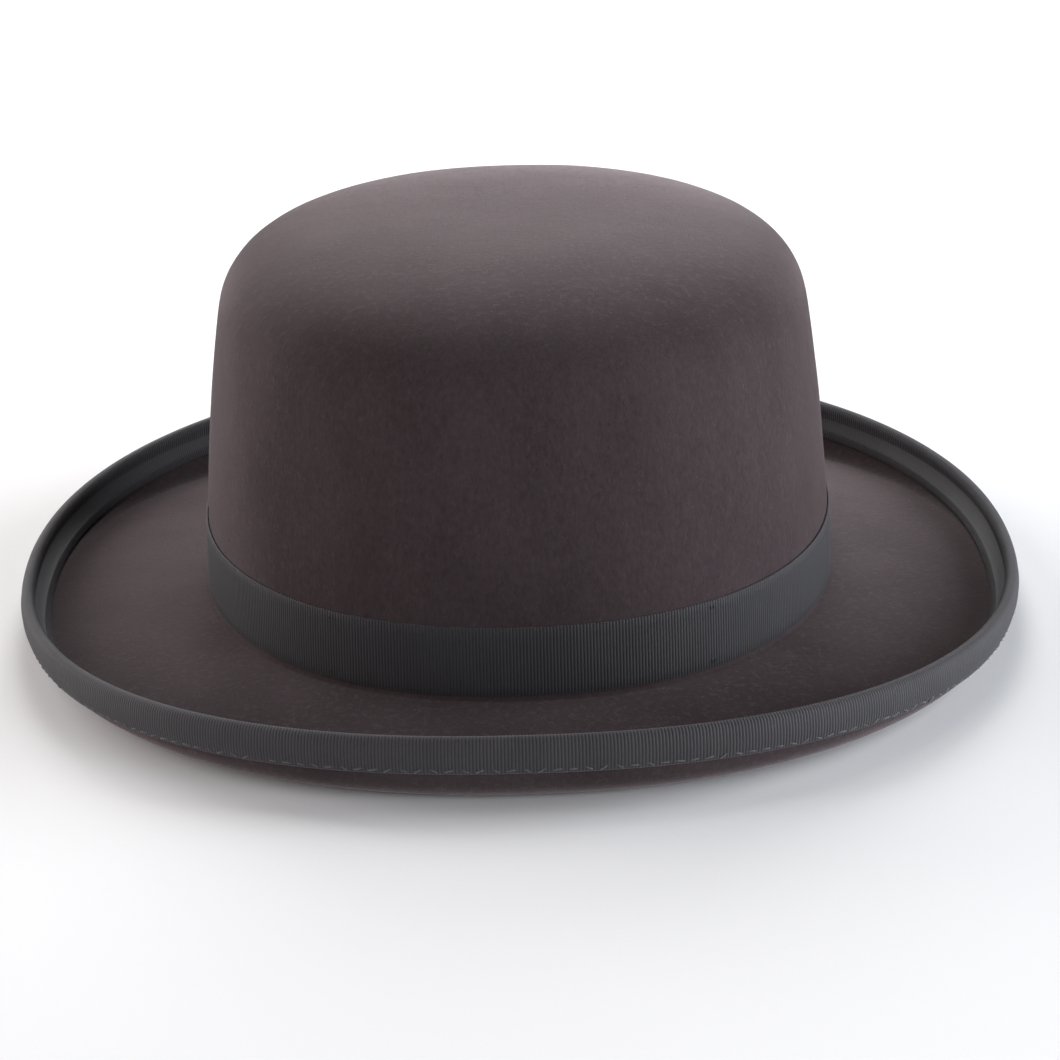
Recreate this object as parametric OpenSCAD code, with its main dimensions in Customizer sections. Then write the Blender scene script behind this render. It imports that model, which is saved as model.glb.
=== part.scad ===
// Bowler hat: blocked felt body with grosgrain trimmings, leather sweatband and satin lining.
// Millimetres. +Z up, front of the hat towards -Y, wearer's left towards +X.
// The origin is under the middle of the hat, on the surface that its brim stands on.

/* [Head opening] */
// Width of the opening between the two sides of the sweatband
head_w = 166; // [150:1:185]
// Length of the opening from the front of the sweatband to its back
head_l = 196; // [180:1:220]
// Squareness of the oval: 2 is an ellipse, more is fuller at the corners
oval_power = 2.18; // [2:0.02:2.4]

/* [Felt] */
// Thickness of the felt
felt_t = 2.4; // [1.8:0.1:3.6]
// Height of the crown above the brim, at the front
crown_h = 104; // [85:0.5:130]
// Height at which the straight side of the crown turns into its domed top
shoulder_h = 78; // [45:1:84]
// Share by which the crown's side curves in between its foot and its shoulder
wall_lean = 0.064; // [0:0.002:0.12]
// Fullness of the domed top: 2 is round, more is squarer
dome_power = 2.8; // [2:0.05:3.4]
// Radius of the inside corner where the crown meets the brim
break_r = 1.5; // [1:0.1:4]

/* [Brim] */
// Width of the brim at the sides, from the crown to its outermost line
brim_side_w = 52.6; // [40:0.2:70]
// Width of the brim at the front and back
brim_front_w = 51.4; // [40:0.2:75]
// Slope of the brim at the sides, in degrees, upwards from the crown
slope_side = -7; // [-8:0.5:8]
// Slope of the brim at the front and back, in degrees
slope_front = -11.5; // [-16:0.5:6]
// Clear radius inside the curl at the sides
curl_side_r = 4.8; // [1.6:0.2:10]
// Clear radius inside the curl at the front and back
curl_front_r = 12.2; // [1.6:0.2:16]
// Angle through which the curl turns at the sides
curl_side_turn = 113; // [90:1:140]
// Angle through which the curl turns at the front and back
curl_front_turn = 118; // [80:1:150]
// Height by which the foot of the crown is higher at the sides than at the front
dip = 1.5; // [0:0.1:6]

/* [Hat band and bow] */
// Height of the ribbon round the crown
band_h = 19; // [12:1:35]
// Thickness of the ribbons
ribbon_t = 0.6; // [0.4:0.1:1]
// Height of the ribbon's lower edge above the round of the inside corner
band_lift = 0; // [0:0.1:5]
// Direction of the bow's centre, in degrees from the wearer's left towards the back
bow_angle = 34; // [0:1:60]
// Length of the bow from the end of one loop to the end of the other
bow_l = 58; // [40:1:80]
// Half the depth of a loop at its folded end
loop_r = 0.9; // [0.7:0.1:2]
// Width of the knot that wraps the bow's middle
knot_w = 12; // [8:1:18]

/* [Brim binding] */
// Width of the binding on the outer face of the curl
bind_out = 8.4; // [6:0.2:14]
// Width of the binding on the inner face of the curl
bind_in = 8; // [6:0.2:14]
// Thread thickness of the stitches
thread_d = 0.5; // [0.3:0.1:0.8]
// Number of stitches along the binding
bind_stitches = 240; // [60:4:300]
// Distance from the binding's outer edge to its row of stitches
stitch_inset = 1.1; // [0.8:0.1:2.5]

/* [Sweatband] */
// Height of the leather
sweat_h = 38; // [28:1:50]
// Thickness of the leather
sweat_t = 1.1; // [0.8:0.1:1.8]
// Height of the leather's lower edge above the foot of the crown
sweat_lift = 2.6; // [2.2:0.1:6]
// Diameter of the reed that stiffens the lower edge
reed_d = 1.1; // [0.8:0.1:2]
// Thickness of the tape that holds the reed
tape_t = 0.3; // [0.2:0.05:0.5]
// Height of the tape's legs behind the leather, above the foot of the crown
tape_h = 8; // [6:0.5:12]
// Number of stitches along the leather's lower edge
sweat_stitches = 96; // [48:4:200]
// Width of the patch over the leather's joint at the back
seam_patch_w = 14; // [8:1:24]
// Length of the small bow at the back of the sweatband
inner_bow_l = 26; // [16:1:40]
// Height of the small bow's ribbon
inner_bow_h = 10; // [5:0.5:14]
// Width of the blank size tag
tag_w = 22; // [12:1:30]
// Height of the blank size tag
tag_h = 12; // [8:1:18]

/* [Lining] */
// Thickness of the satin
satin_t = 0.4; // [0.2:0.1:0.8]
// Height of the lining's lower edge above the foot of the crown
lining_lift = 12; // [10:1:24]
// Turn round the dome at which the side lining meets the tip, in degrees
tip_turn = 40; // [20:2:60]
// Diameter of the piping between the side lining and the tip
piping_d = 1.8; // [1.2:0.2:3]

/* [Hidden] */

// Clearances between pieces that lie on each other, on a round face, on a hollow face, whose facets
// stand in towards the head, and between the crown's layers
ribbon_gap = 0.1;
hollow_gap = 0.25;
layer_gap = 0.4;
// Thickness of the patches on the sweatband
patch_t = 0.4;

// Facets round the oval
SEG = 72;
function turn(i) = i * 360 / SEG;

// The layers from the felt's outer face inwards to the head
lining_in = felt_t + layer_gap;
sweat_in = lining_in + satin_t + layer_gap;
stack = sweat_in + sweat_t;

// Half width and half length of the crown's foot, on the felt's outer face
crown_a = head_w / 2 + stack;
crown_b = head_l / 2 + stack;

// 1 at the front and back, 0 at the sides
function ends(t) = pow(sin(t), 2);
function mix(side, front, t) = side + (front - side) * ends(t);

// A point at direction t on an oval of half width a and half length b
function oval_r(t, a, b) =
    pow(pow(abs(cos(t)) / a, oval_power) + pow(abs(sin(t)) / b, oval_power), -1 / oval_power);
function oval_at(t, a, b, z) =
    let (r = oval_r(t, a, b)) [r * cos(t), r * sin(t), z];

// A point at distance d outside the crown's foot and height z
function at(t, d, z) = oval_at(t, crown_a + d, crown_b + d, z);

// ---- the brim's section: a slope, then a curl ----
function slope(t) = mix(slope_side, slope_front, t);
function curl_turn(t) = mix(curl_side_turn, curl_front_turn, t);
function curl_r(t) = mix(curl_side_r, curl_front_r, t) + felt_t;
function brim_w(t) = mix(brim_side_w, brim_front_w, t);
// Distance out to the start of the curl, measured on the underside
function run(t) = brim_w(t) - curl_r(t) * (1 - sin(slope(t)));
// Depth of the brim's lowest line below the foot of the crown
function drop(t) =
    felt_t + (slope(t) < 0 ? curl_r(t) * (1 - cos(slope(t))) - run(t) * tan(slope(t)) : 0);
// Height of the foot of the crown above the surface that the hat stands on
stand = max(drop(90), drop(0) - dip);
function foot(t) = stand + dip * (1 - ends(t));

// Centre of the curl, as distance out and height
function curl_c(t) =
    let (s = slope(t), r = curl_r(t))
    [run(t) - r * sin(s), foot(t) - felt_t + run(t) * tan(s) + r * cos(s)];
// A point on the curl, turned by f from its start, at radius r
function curl_at(t, f, r) =
    let (c = curl_c(t), s = slope(t)) [c[0] + r * sin(s + f), c[1] - r * cos(s + f)];
// A point at distance w along the section back from the rim, at off outside the felt's outer face
function back_from_rim(t, w, off) =
    let (r = curl_r(t) + off, arc = curl_turn(t) * r * PI / 180, s = slope(t))
    w < arc ? curl_at(t, curl_turn(t) - w / r * 180 / PI, r)
            : curl_at(t, 0, r) - (w - arc) * [cos(s), sin(s)];
// A point on the round of radius r about the middle of the felt's edge; f is 0 outside, 180 inside
function rim_at(t, f, r) =
    let (c = curl_at(t, curl_turn(t), curl_r(t) - felt_t / 2), s = slope(t) + curl_turn(t))
    c + r * [cos(f) * sin(s) + sin(f) * cos(s), -cos(f) * cos(s) + sin(f) * sin(s)];

// ---- the crown: u from 0 to 1 goes up its side, u from 1 to 2 round its dome ----
// The share by which the dome's foot goes on leaning as the side does, so that they meet smoothly
tuck = 2 * wall_lean * (crown_h - shoulder_h) / shoulder_h;
function dome_rise(u) = pow(sin((u - 1) * 90), 2 / dome_power);
function dome_k(u) = pow(cos((u - 1) * 90), 2 / dome_power);
function crown_k(u) =
    u <= 1 ? 1 - wall_lean * u * u : dome_k(u) * (1 - wall_lean - tuck * dome_rise(u));
// Height above the foot, g inside the felt's outer face
function crown_rise(u, g) =
    u <= 1 ? u * shoulder_h
           : shoulder_h + (crown_h - shoulder_h - g) * dome_rise(u);
// The foot's dip fades out towards the top
function crown_z(t, rise) = rise + stand + (foot(t) - stand) * (1 - rise / crown_h);
function crown_at(t, u, g) =
    let (k = crown_k(u)) oval_at(t, (crown_a - g) * k, (crown_b - g) * k, crown_z(t, crown_rise(u, g)));
// A point on the crown's side at a height above the foot, g inside the felt's outer face
function side_at(t, h, g) = crown_at(t, h / shoulder_h, g);
top_z = stand + crown_h;

// ---- solids from rings of points ----
function flat(rings) = [for (ring = rings) each ring];
function reversed(list) = [for (j = [len(list) - 1 : -1 : 0]) list[j]];
function quad(a, b, c, d) = [[a, b, c], [a, c, d]];
function ring_wall(j, k, n) =
    [for (i = [0 : n - 1]) each quad(j * n + i, j * n + (i + 1) % n, k * n + (i + 1) % n, k * n + i)];

// A closed section carried round a closed path: rings[j] is the path of the section's corner j
module closed_band(rings) {
    m = len(rings);
    n = len(rings[0]);
    polyhedron(flat(rings), [for (j = [0 : m - 1]) each ring_wall(j, (j + 1) % m, n)], convexity = 8);
}

// A shell whose rings lead from one pole to another
module poled_shell(rings, first, last) {
    m = len(rings);
    n = len(rings[0]);
    polyhedron(
        concat(flat(rings), [first, last]),
        concat(
            [for (i = [0 : n - 1]) [m * n, (i + 1) % n, i]],
            [for (j = [0 : m - 2]) each ring_wall(j, j + 1, n)],
            [for (i = [0 : n - 1]) [(m - 1) * n + i, (m - 1) * n + (i + 1) % n, m * n + 1]]
        ),
        convexity = 8
    );
}

// A closed section carried along an open path, with flat ends
module capped_strip(rings) {
    m = len(rings);
    n = len(rings[0]);
    polyhedron(
        flat(rings),
        concat(
            [for (j = [0 : m - 1]) for (i = [0 : n - 2])
                each quad(j * n + i, j * n + i + 1, (j + 1) % m * n + i + 1, (j + 1) % m * n + i)],
            [[for (j = [0 : m - 1]) j * n]],
            [[for (j = [m - 1 : -1 : 0]) j * n + n - 1]]
        ),
        convexity = 4
    );
}

// Rings round the hat through points given as [distance out, height] functions' results
function ring_at(points) = [for (i = [0 : SEG - 1]) at(turn(i), points[i][0], points[i][1])];
// Rings on the crown at u, and on its side at height h, g inside the felt's outer face
function crown_ring(u, g) = [for (i = [0 : SEG - 1]) crown_at(turn(i), u, g)];
function side_ring(h, g) = [for (i = [0 : SEG - 1]) side_at(turn(i), h, g)];

// ---- felt ----
// Number of steps round the dome, round the curl and up the crown's side
dome_n = 9;
curl_n = 7;
side_u = [2 / 3, 1 / 3];

// A ring round the inside corner between crown and brim, at angle f and radius r
function break_ring(f, r) =
    ring_at([for (i = [0 : SEG - 1]) [break_r + r * cos(f), foot(turn(i)) + break_r + r * sin(f)]]);
// A ring on the brim's slope: w from 0 at the crown to 1 at the curl, lift above the underside
function slope_ring(w, lift) =
    ring_at([for (i = [0 : SEG - 1]) let (
        t = turn(i),
        inner = [break_r, foot(t) - felt_t + lift],
        outer = curl_at(t, 0, curl_r(t) - lift)
    ) inner + (outer - inner) * w]);
// A ring on the curl: w from 0 at its start to 1 at its end, depth inside the outer face
function curl_ring(w, depth) =
    ring_at([for (i = [0 : SEG - 1]) let (t = turn(i)) curl_at(t, w * curl_turn(t), curl_r(t) - depth)]);
// A ring on the round of the rim
function rim_ring(f, r) = ring_at([for (i = [0 : SEG - 1]) rim_at(turn(i), f, r)]);

module felt_body() color([0.27, 0.23, 0.24]) {
    dome_u = [for (j = [1 : dome_n]) 2 - j / dome_n];
    outside = concat(
        [for (u = dome_u) crown_ring(u, 0)],
        [for (u = side_u) crown_ring(u, 0)],
        [for (f = [180, 225, 270]) break_ring(f, break_r)],
        [for (w = [1 / 3, 2 / 3]) slope_ring(w, felt_t)],
        [for (j = [0 : curl_n]) curl_ring(j / curl_n, felt_t)]
    );
    inside = concat(
        [for (u = dome_u) crown_ring(u, felt_t)],
        [for (u = side_u) crown_ring(u, felt_t)],
        [for (f = [180, 210, 240, 270]) break_ring(f, break_r + felt_t)],
        [for (w = [1 / 3, 2 / 3]) slope_ring(w, 0)],
        [for (j = [0 : curl_n]) curl_ring(j / curl_n, 0)]
    );
    rim = [for (f = [135, 90, 45]) rim_ring(f, felt_t / 2)];
    poled_shell(concat(outside, rim, reversed(inside)), [0, 0, top_z], [0, 0, top_z - felt_t]);
}

// ---- hat band ----
band_out = ribbon_gap + ribbon_t;
band_low = break_r + band_lift;
band_mid = band_low + band_h / 2;
band_top = band_low + band_h;

module hat_band() color([0.17, 0.17, 0.18])
    closed_band(concat(
        [for (h = [band_top, band_mid, band_low]) side_ring(h, -band_out)],
        [for (h = [band_low, band_mid, band_top]) side_ring(h, -ribbon_gap)]
    ));

// A short thread lying on a face, its middle at p, along the direction d
module thread(p, d, l)
    translate(p)
        rotate([0, atan2(norm([d[0], d[1]]), d[2]), atan2(d[1], d[0])])
            cylinder(h = l, d = thread_d, center = true, $fn = 16);

// Height of the tacks' middles inside the ribbon's edges, and how far out a thread lies on a face
tack_inset = 2;
tack_l = 1.6;
function thread_out(face) = face + ribbon_gap + thread_d / 2;

module band_tacks() color([0.1, 0.1, 0.11])
    for (t = [60 : 60 : 300], h = [band_low + tack_inset, band_top - tack_inset]) {
        g = -thread_out(band_out);
        thread(side_at(t, h, g), side_at(t, h + 1, g) - side_at(t, h, g), tack_l);
    }

// ---- bows ----
// A point s along the crown from direction t0, h above the foot, g inside the crown's outer face
function laid_at(t0, s, h, g) = side_at(t0 + s / oval_r(t0, crown_a, crown_b) * 180 / PI, h, g);

// Half the distance between the middle lines of a bow's two ribbons where the knot pinches them
pinch = ribbon_t / 2 + 0.05;
// Half the room inside a knot of width w that wraps a bow of length l
function hug(w, l) =
    pinch + (loop_r - pinch) * w / (l - 2 * loop_r) + ribbon_t / 2 + ribbon_gap;
// Distance from the face that this bow lies on to its middle
function bow_mid(w, l) = ribbon_gap + ribbon_t + hug(w, l);
// Steps along each half of a loop's side
loop_n = 5;

// Middle line of a bow's ribbon: along the crown, and out from the bow's middle
function loop_line(l, r) =
    let (end = l / 2 - r, side = [for (i = [-loop_n : loop_n]) i / loop_n])
    concat(
        [for (x = side) [x * end, pinch + (r - pinch) * abs(x)]],
        [for (f = [45, 0, -45]) [end + r * cos(f), r * sin(f)]],
        [for (x = reversed(side)) [x * end, -pinch - (r - pinch) * abs(x)]],
        [for (f = [225, 180, 135]) [-end + r * cos(f), r * sin(f)]]
    );
// The way out of the loop at a point of that line
function loop_out(l, r, p) =
    let (end = l / 2 - r)
    abs(p[0]) > end ? [p[0] - sign(p[0]) * end, p[1]] / r : [0, sign(p[1])];

// The looped ribbon of a bow of length l and ribbon height h, whose knot is w wide, with its middle at
// direction t0 and height h0, lying on the face at g; away is -1 outside the crown and 1 inside it
module looped_ribbon(t0, h0, l, w, h, g, away) {
    line = loop_line(l, loop_r);
    rings = [for (c = [[0.5, 1], [0.5, -1], [-0.5, -1], [-0.5, 1]]) [for (p = line)
        let (q = p + loop_out(l, loop_r, p) * c[0] * ribbon_t)
        laid_at(t0, q[0], h0 + c[1] * h / 2, g + away * (bow_mid(w, l) + q[1]))]];
    closed_band(away < 0 ? rings : reversed(rings));
}

// The strip of width w that wraps the middle of that ribbon
module wrapped_knot(t0, h0, l, w, h, g, away) {
    // Its outline, as shares of its half depth and half height, with the corners cut a little
    corners = [[1, 0], [1, 0.97], [0.95, 1], [-0.95, 1], [-1, 0.97],
        [-1, 0], [-1, -0.97], [-0.95, -1], [0.95, -1], [1, -0.97]];
    rings = [for (c = [[-0.5, 1], [0, 1], [0.5, 1], [0.5, 0], [0, 0], [-0.5, 0]]) [for (k = corners)
        laid_at(t0, c[0] * w, h0 + k[1] * (h / 2 + ribbon_gap + c[1] * ribbon_t),
            g + away * (bow_mid(w, l) + k[0] * (hug(w, l) + c[1] * ribbon_t)))]];
    closed_band(away < 0 ? rings : reversed(rings));
}

module bow_loops() color([0.18, 0.18, 0.19])
    looped_ribbon(bow_angle, band_mid, bow_l, knot_w, band_h, -band_out, -1);

module bow_knot() color([0.18, 0.18, 0.19])
    wrapped_knot(bow_angle, band_mid, bow_l, knot_w, band_h, -band_out, -1);

// Distance of the bow's tacks from its folded ends
bow_tack_inset = 5;
module bow_tacks() color([0.1, 0.1, 0.11])
    for (s = [bow_tack_inset - bow_l / 2, bow_l / 2 - bow_tack_inset],
         h = [band_low + tack_inset, band_top - tack_inset]) {
        g = -thread_out(band_out + bow_mid(knot_w, bow_l) + loop_r + ribbon_t / 2);
        thread(laid_at(bow_angle, s, h, g), laid_at(bow_angle, s, h + 1, g) - laid_at(bow_angle, s, h, g), tack_l);
    }

// ---- brim binding ----
// Steps across each leg of the binding
leg_n = 4;
// A ring on a leg, at distance w back from the rim and off outside the felt's outer face
function leg_ring(w, off) = ring_at([for (i = [0 : SEG - 1]) back_from_rim(turn(i), w, off)]);

// The face of the binding that is off from the felt, from its inner edge over the rim to its outer edge
function binding_face(off) = concat(
    [for (j = [leg_n : -1 : 0]) leg_ring(j / leg_n * bind_in, -felt_t - off + ribbon_gap - hollow_gap)],
    [for (f = [135, 90, 45]) rim_ring(f, felt_t / 2 + off)],
    [for (j = [0 : leg_n]) leg_ring(j / leg_n * bind_out, off)]
);
module brim_binding() color([0.2, 0.2, 0.21])
    closed_band(concat(binding_face(band_out), reversed(binding_face(ribbon_gap))));

// A point of the row of stitches along the binding's outer edge
function edge_at(t) =
    let (p = back_from_rim(t, bind_out - stitch_inset, thread_out(band_out))) at(t, p[0], p[1]);
bind_stitch_l = 2.4;
module binding_stitches() color([0.33, 0.31, 0.31])
    for (k = [0 : bind_stitches - 1]) {
        t = k * 360 / bind_stitches;
        thread(edge_at(t), edge_at(t + 0.5) - edge_at(t - 0.5), bind_stitch_l);
    }

// ---- sweatband ----
sweat_mid = sweat_lift + sweat_h / 2;
sweat_top = sweat_lift + sweat_h;
module sweatband() color([0.2, 0.13, 0.1])
    closed_band(concat(
        [for (h = [sweat_top, sweat_mid, sweat_lift]) side_ring(h, sweat_in)],
        [for (h = [sweat_lift, sweat_mid, sweat_top]) side_ring(h, stack)]
    ));

// The reed lies under the leather's lower edge, in a fold of tape
tape_r = reed_d / 2 + ribbon_gap;
reed_g = stack - tape_t - tape_r;
reed_h = sweat_lift - ribbon_gap - tape_t - tape_r;
module sweatband_reed() color([0.72, 0.71, 0.67])
    closed_band([for (k = [0 : 5])
        side_ring(reed_h + reed_d / 2 * sin(k * 60), reed_g + reed_d / 2 * cos(k * 60))]);

// Middle line of the tape's section: down one leg, round the reed and up the other leg
leg_g = reed_g - tape_r - tape_t / 2;
tape_line = concat(
    [[leg_g, tape_h]],
    [for (f = [180 : 60 : 420]) [reed_g, reed_h] + (tape_r + tape_t / 2) * [cos(f), sin(f)]],
    [for (h = [sweat_lift - ribbon_gap - tape_t / 2, tape_h]) [leg_g + tape_t + ribbon_gap, h]]
);
// The way across a line at its point i, to the right of its direction
function across(line, i) =
    let (d = line[min(i + 1, len(line) - 1)] - line[max(i - 1, 0)]) [d[1], -d[0]] / norm(d);
function tape_face(side) = [for (i = [0 : len(tape_line) - 1])
    let (p = tape_line[i] + across(tape_line, i) * side * tape_t / 2) side_ring(p[1], p[0])];
module reed_tape() color([0.16, 0.15, 0.15])
    closed_band(concat(tape_face(1), reversed(tape_face(-1))));

sweat_stitch_l = 3;
// Height of the row of stitches above the leather's lower edge
sweat_stitch_h = 2;
module sweatband_stitches() color([0.42, 0.34, 0.27])
    for (k = [0 : sweat_stitches - 1]) {
        t = (k + 0.5) * 360 / sweat_stitches;
        h = sweat_lift + sweat_stitch_h;
        g = thread_out(stack + hollow_gap);
        thread(side_at(t, h, g), side_at(t + 0.5, h, g) - side_at(t - 0.5, h, g), sweat_stitch_l);
    }

// A flat patch of width w, from height h1 to h2, lying on the sweatband's inner face
back = 90;
module inner_patch(t0, w, h1, h2) {
    cols = [-0.5, -0.25, 0, 0.25, 0.5];
    near = stack + hollow_gap;
    capped_strip([for (c = [[h2, near], [h1, near], [h1, near + patch_t], [h2, near + patch_t]])
        [for (x = cols) laid_at(t0, x * w, c[0], c[1])]]);
}

// The patch stands between the row of stitches and the leather's upper edge, and the small bow on it
patch_low = sweat_lift + sweat_stitch_h + 2;
// Distance of the patch from the leather's upper edge, and of the bow from the patch's lower edge
patch_inset = 3;
module back_seam_patch() color([0.24, 0.16, 0.12])
    inner_patch(back, seam_patch_w, patch_low, sweat_top - patch_inset);

inner_bow_mid = patch_low + inner_bow_h / 2 + patch_inset;
inner_knot_w = 4;
// The face of the seam patch, which the small bow lies on
inner_bow_g = stack + hollow_gap + patch_t + hollow_gap;
module inner_bow_loops() color([0.14, 0.12, 0.13])
    looped_ribbon(back, inner_bow_mid, inner_bow_l, inner_knot_w, inner_bow_h, inner_bow_g, 1);
module inner_bow_knot() color([0.14, 0.12, 0.13])
    wrapped_knot(back, inner_bow_mid, inner_bow_l, inner_knot_w, inner_bow_h, inner_bow_g, 1);

// Room between the seam patch or the small bow and the size tag
tag_gap = 6;
tag_turn = back - (max(seam_patch_w, inner_bow_l) / 2 + tag_gap + tag_w / 2) / crown_b * 180 / PI;
module size_tag() color([0.82, 0.8, 0.76])
    inner_patch(tag_turn, tag_w, sweat_mid - tag_h / 2, sweat_mid + tag_h / 2);

// ---- lining ----
tip_u = 1 + tip_turn / 90;
// Share of the dome's turn left open between side lining and tip, under the piping
seam_u = 0.012;
module lining_side() color([0.16, 0.12, 0.13]) {
    rise = [lining_lift / shoulder_h, 0.6, 1, 1 + (tip_turn - 10) / 180, tip_u - seam_u];
    closed_band(concat(
        [for (u = reversed(rise)) crown_ring(u, lining_in)],
        [for (u = rise) crown_ring(u, lining_in + satin_t)]
    ));
}

module lining_tip() color([0.17, 0.13, 0.14]) {
    tip_n = 6;
    rise = [for (j = [1 : tip_n]) 2 - (2 - tip_u - seam_u) * j / tip_n];
    poled_shell(
        concat([for (u = rise) crown_ring(u, lining_in)],
            [for (u = reversed(rise)) crown_ring(u, lining_in + satin_t)]),
        [0, 0, top_z - lining_in], [0, 0, top_z - lining_in - satin_t]);
}

// The piping lies inside the joint of side lining and tip
piping_in = lining_in + satin_t + ribbon_gap + piping_d / 2;
function piping_at(t, f) =
    let (k = crown_k(tip_u), r = piping_d / 2)
    oval_at(t, (crown_a - piping_in) * k - r * cos(f), (crown_b - piping_in) * k - r * cos(f),
        crown_z(t, crown_rise(tip_u, piping_in)) + r * sin(f));
module lining_piping() color([0.13, 0.1, 0.11])
    closed_band([for (c = [0 : 5]) [for (i = [0 : SEG - 1]) piping_at(turn(i), c * 60)]]);

felt_body();
hat_band();
band_tacks();
bow_loops();
bow_knot();
bow_tacks();
brim_binding();
binding_stitches();
sweatband();
sweatband_stitches();
sweatband_reed();
reed_tape();
back_seam_patch();
inner_bow_loops();
inner_bow_knot();
size_tag();
lining_side();
lining_piping();
lining_tip();
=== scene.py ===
"""Bowler hat: the looks of every piece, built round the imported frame.

The felt, the ribbons, the leather and the satin are rebuilt from the same sizes as the frame's own
solids, at the fineness of the real cloth. Lengths are in metres and turns in radians. The hat's front
is towards -Y, the wearer's left towards +X, and it stands on z = 0.
"""
import logging
import math
from dataclasses import dataclass
from enum import Enum
from typing import Callable, Iterable, Sequence

import bpy
import numpy as np
from mathutils import Matrix, Vector


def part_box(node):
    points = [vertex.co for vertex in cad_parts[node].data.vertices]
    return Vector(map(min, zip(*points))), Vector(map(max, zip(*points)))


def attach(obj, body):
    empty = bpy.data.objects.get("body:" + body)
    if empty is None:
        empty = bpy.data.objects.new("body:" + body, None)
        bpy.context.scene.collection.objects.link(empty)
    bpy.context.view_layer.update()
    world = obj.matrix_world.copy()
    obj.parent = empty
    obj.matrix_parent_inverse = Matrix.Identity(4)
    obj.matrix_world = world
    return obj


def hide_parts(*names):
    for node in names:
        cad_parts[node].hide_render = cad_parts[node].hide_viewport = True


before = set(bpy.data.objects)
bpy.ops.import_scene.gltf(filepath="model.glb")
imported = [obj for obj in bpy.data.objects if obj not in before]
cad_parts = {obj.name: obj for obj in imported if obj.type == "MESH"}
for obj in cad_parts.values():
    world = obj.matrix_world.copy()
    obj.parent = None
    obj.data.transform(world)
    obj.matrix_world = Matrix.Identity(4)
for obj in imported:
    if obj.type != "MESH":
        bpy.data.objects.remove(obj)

LOG = logging.getLogger("bowler_hat")
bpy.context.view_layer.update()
ROOT = "root"
MM = 0.001
FULL_TURN = 2 * math.pi
# Ends of the short line that a pair of tacks is sewn on
TACK = np.array([-0.5, 0.5]) * MM

Array = np.ndarray
Colour = tuple[float, float, float]


# ---------------------------------------------------------------- sums on places and lines


def spread(low: float, high: float, steps: int) -> list[float]:
    """Even places from low to high."""
    return list(np.linspace(low, high, steps + 1))


def ease(x: Array) -> Array:
    """A smooth step from 0 to 1."""
    x = np.clip(x, 0, 1)
    return x * x * (3 - 2 * x)


def steps_of(line: Array) -> Array:
    """Length of each step of a line of points."""
    return np.linalg.norm(np.diff(line, axis=0), axis=1)


def length_of(line: Array) -> float:
    """Length of a line of points."""
    return float(steps_of(line).sum())


def run_of(line: Array) -> Array:
    """Distance along a line to each of its points."""
    return np.concatenate([[0], np.cumsum(steps_of(line))])


# ---------------------------------------------------------------- the hat's form


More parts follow.
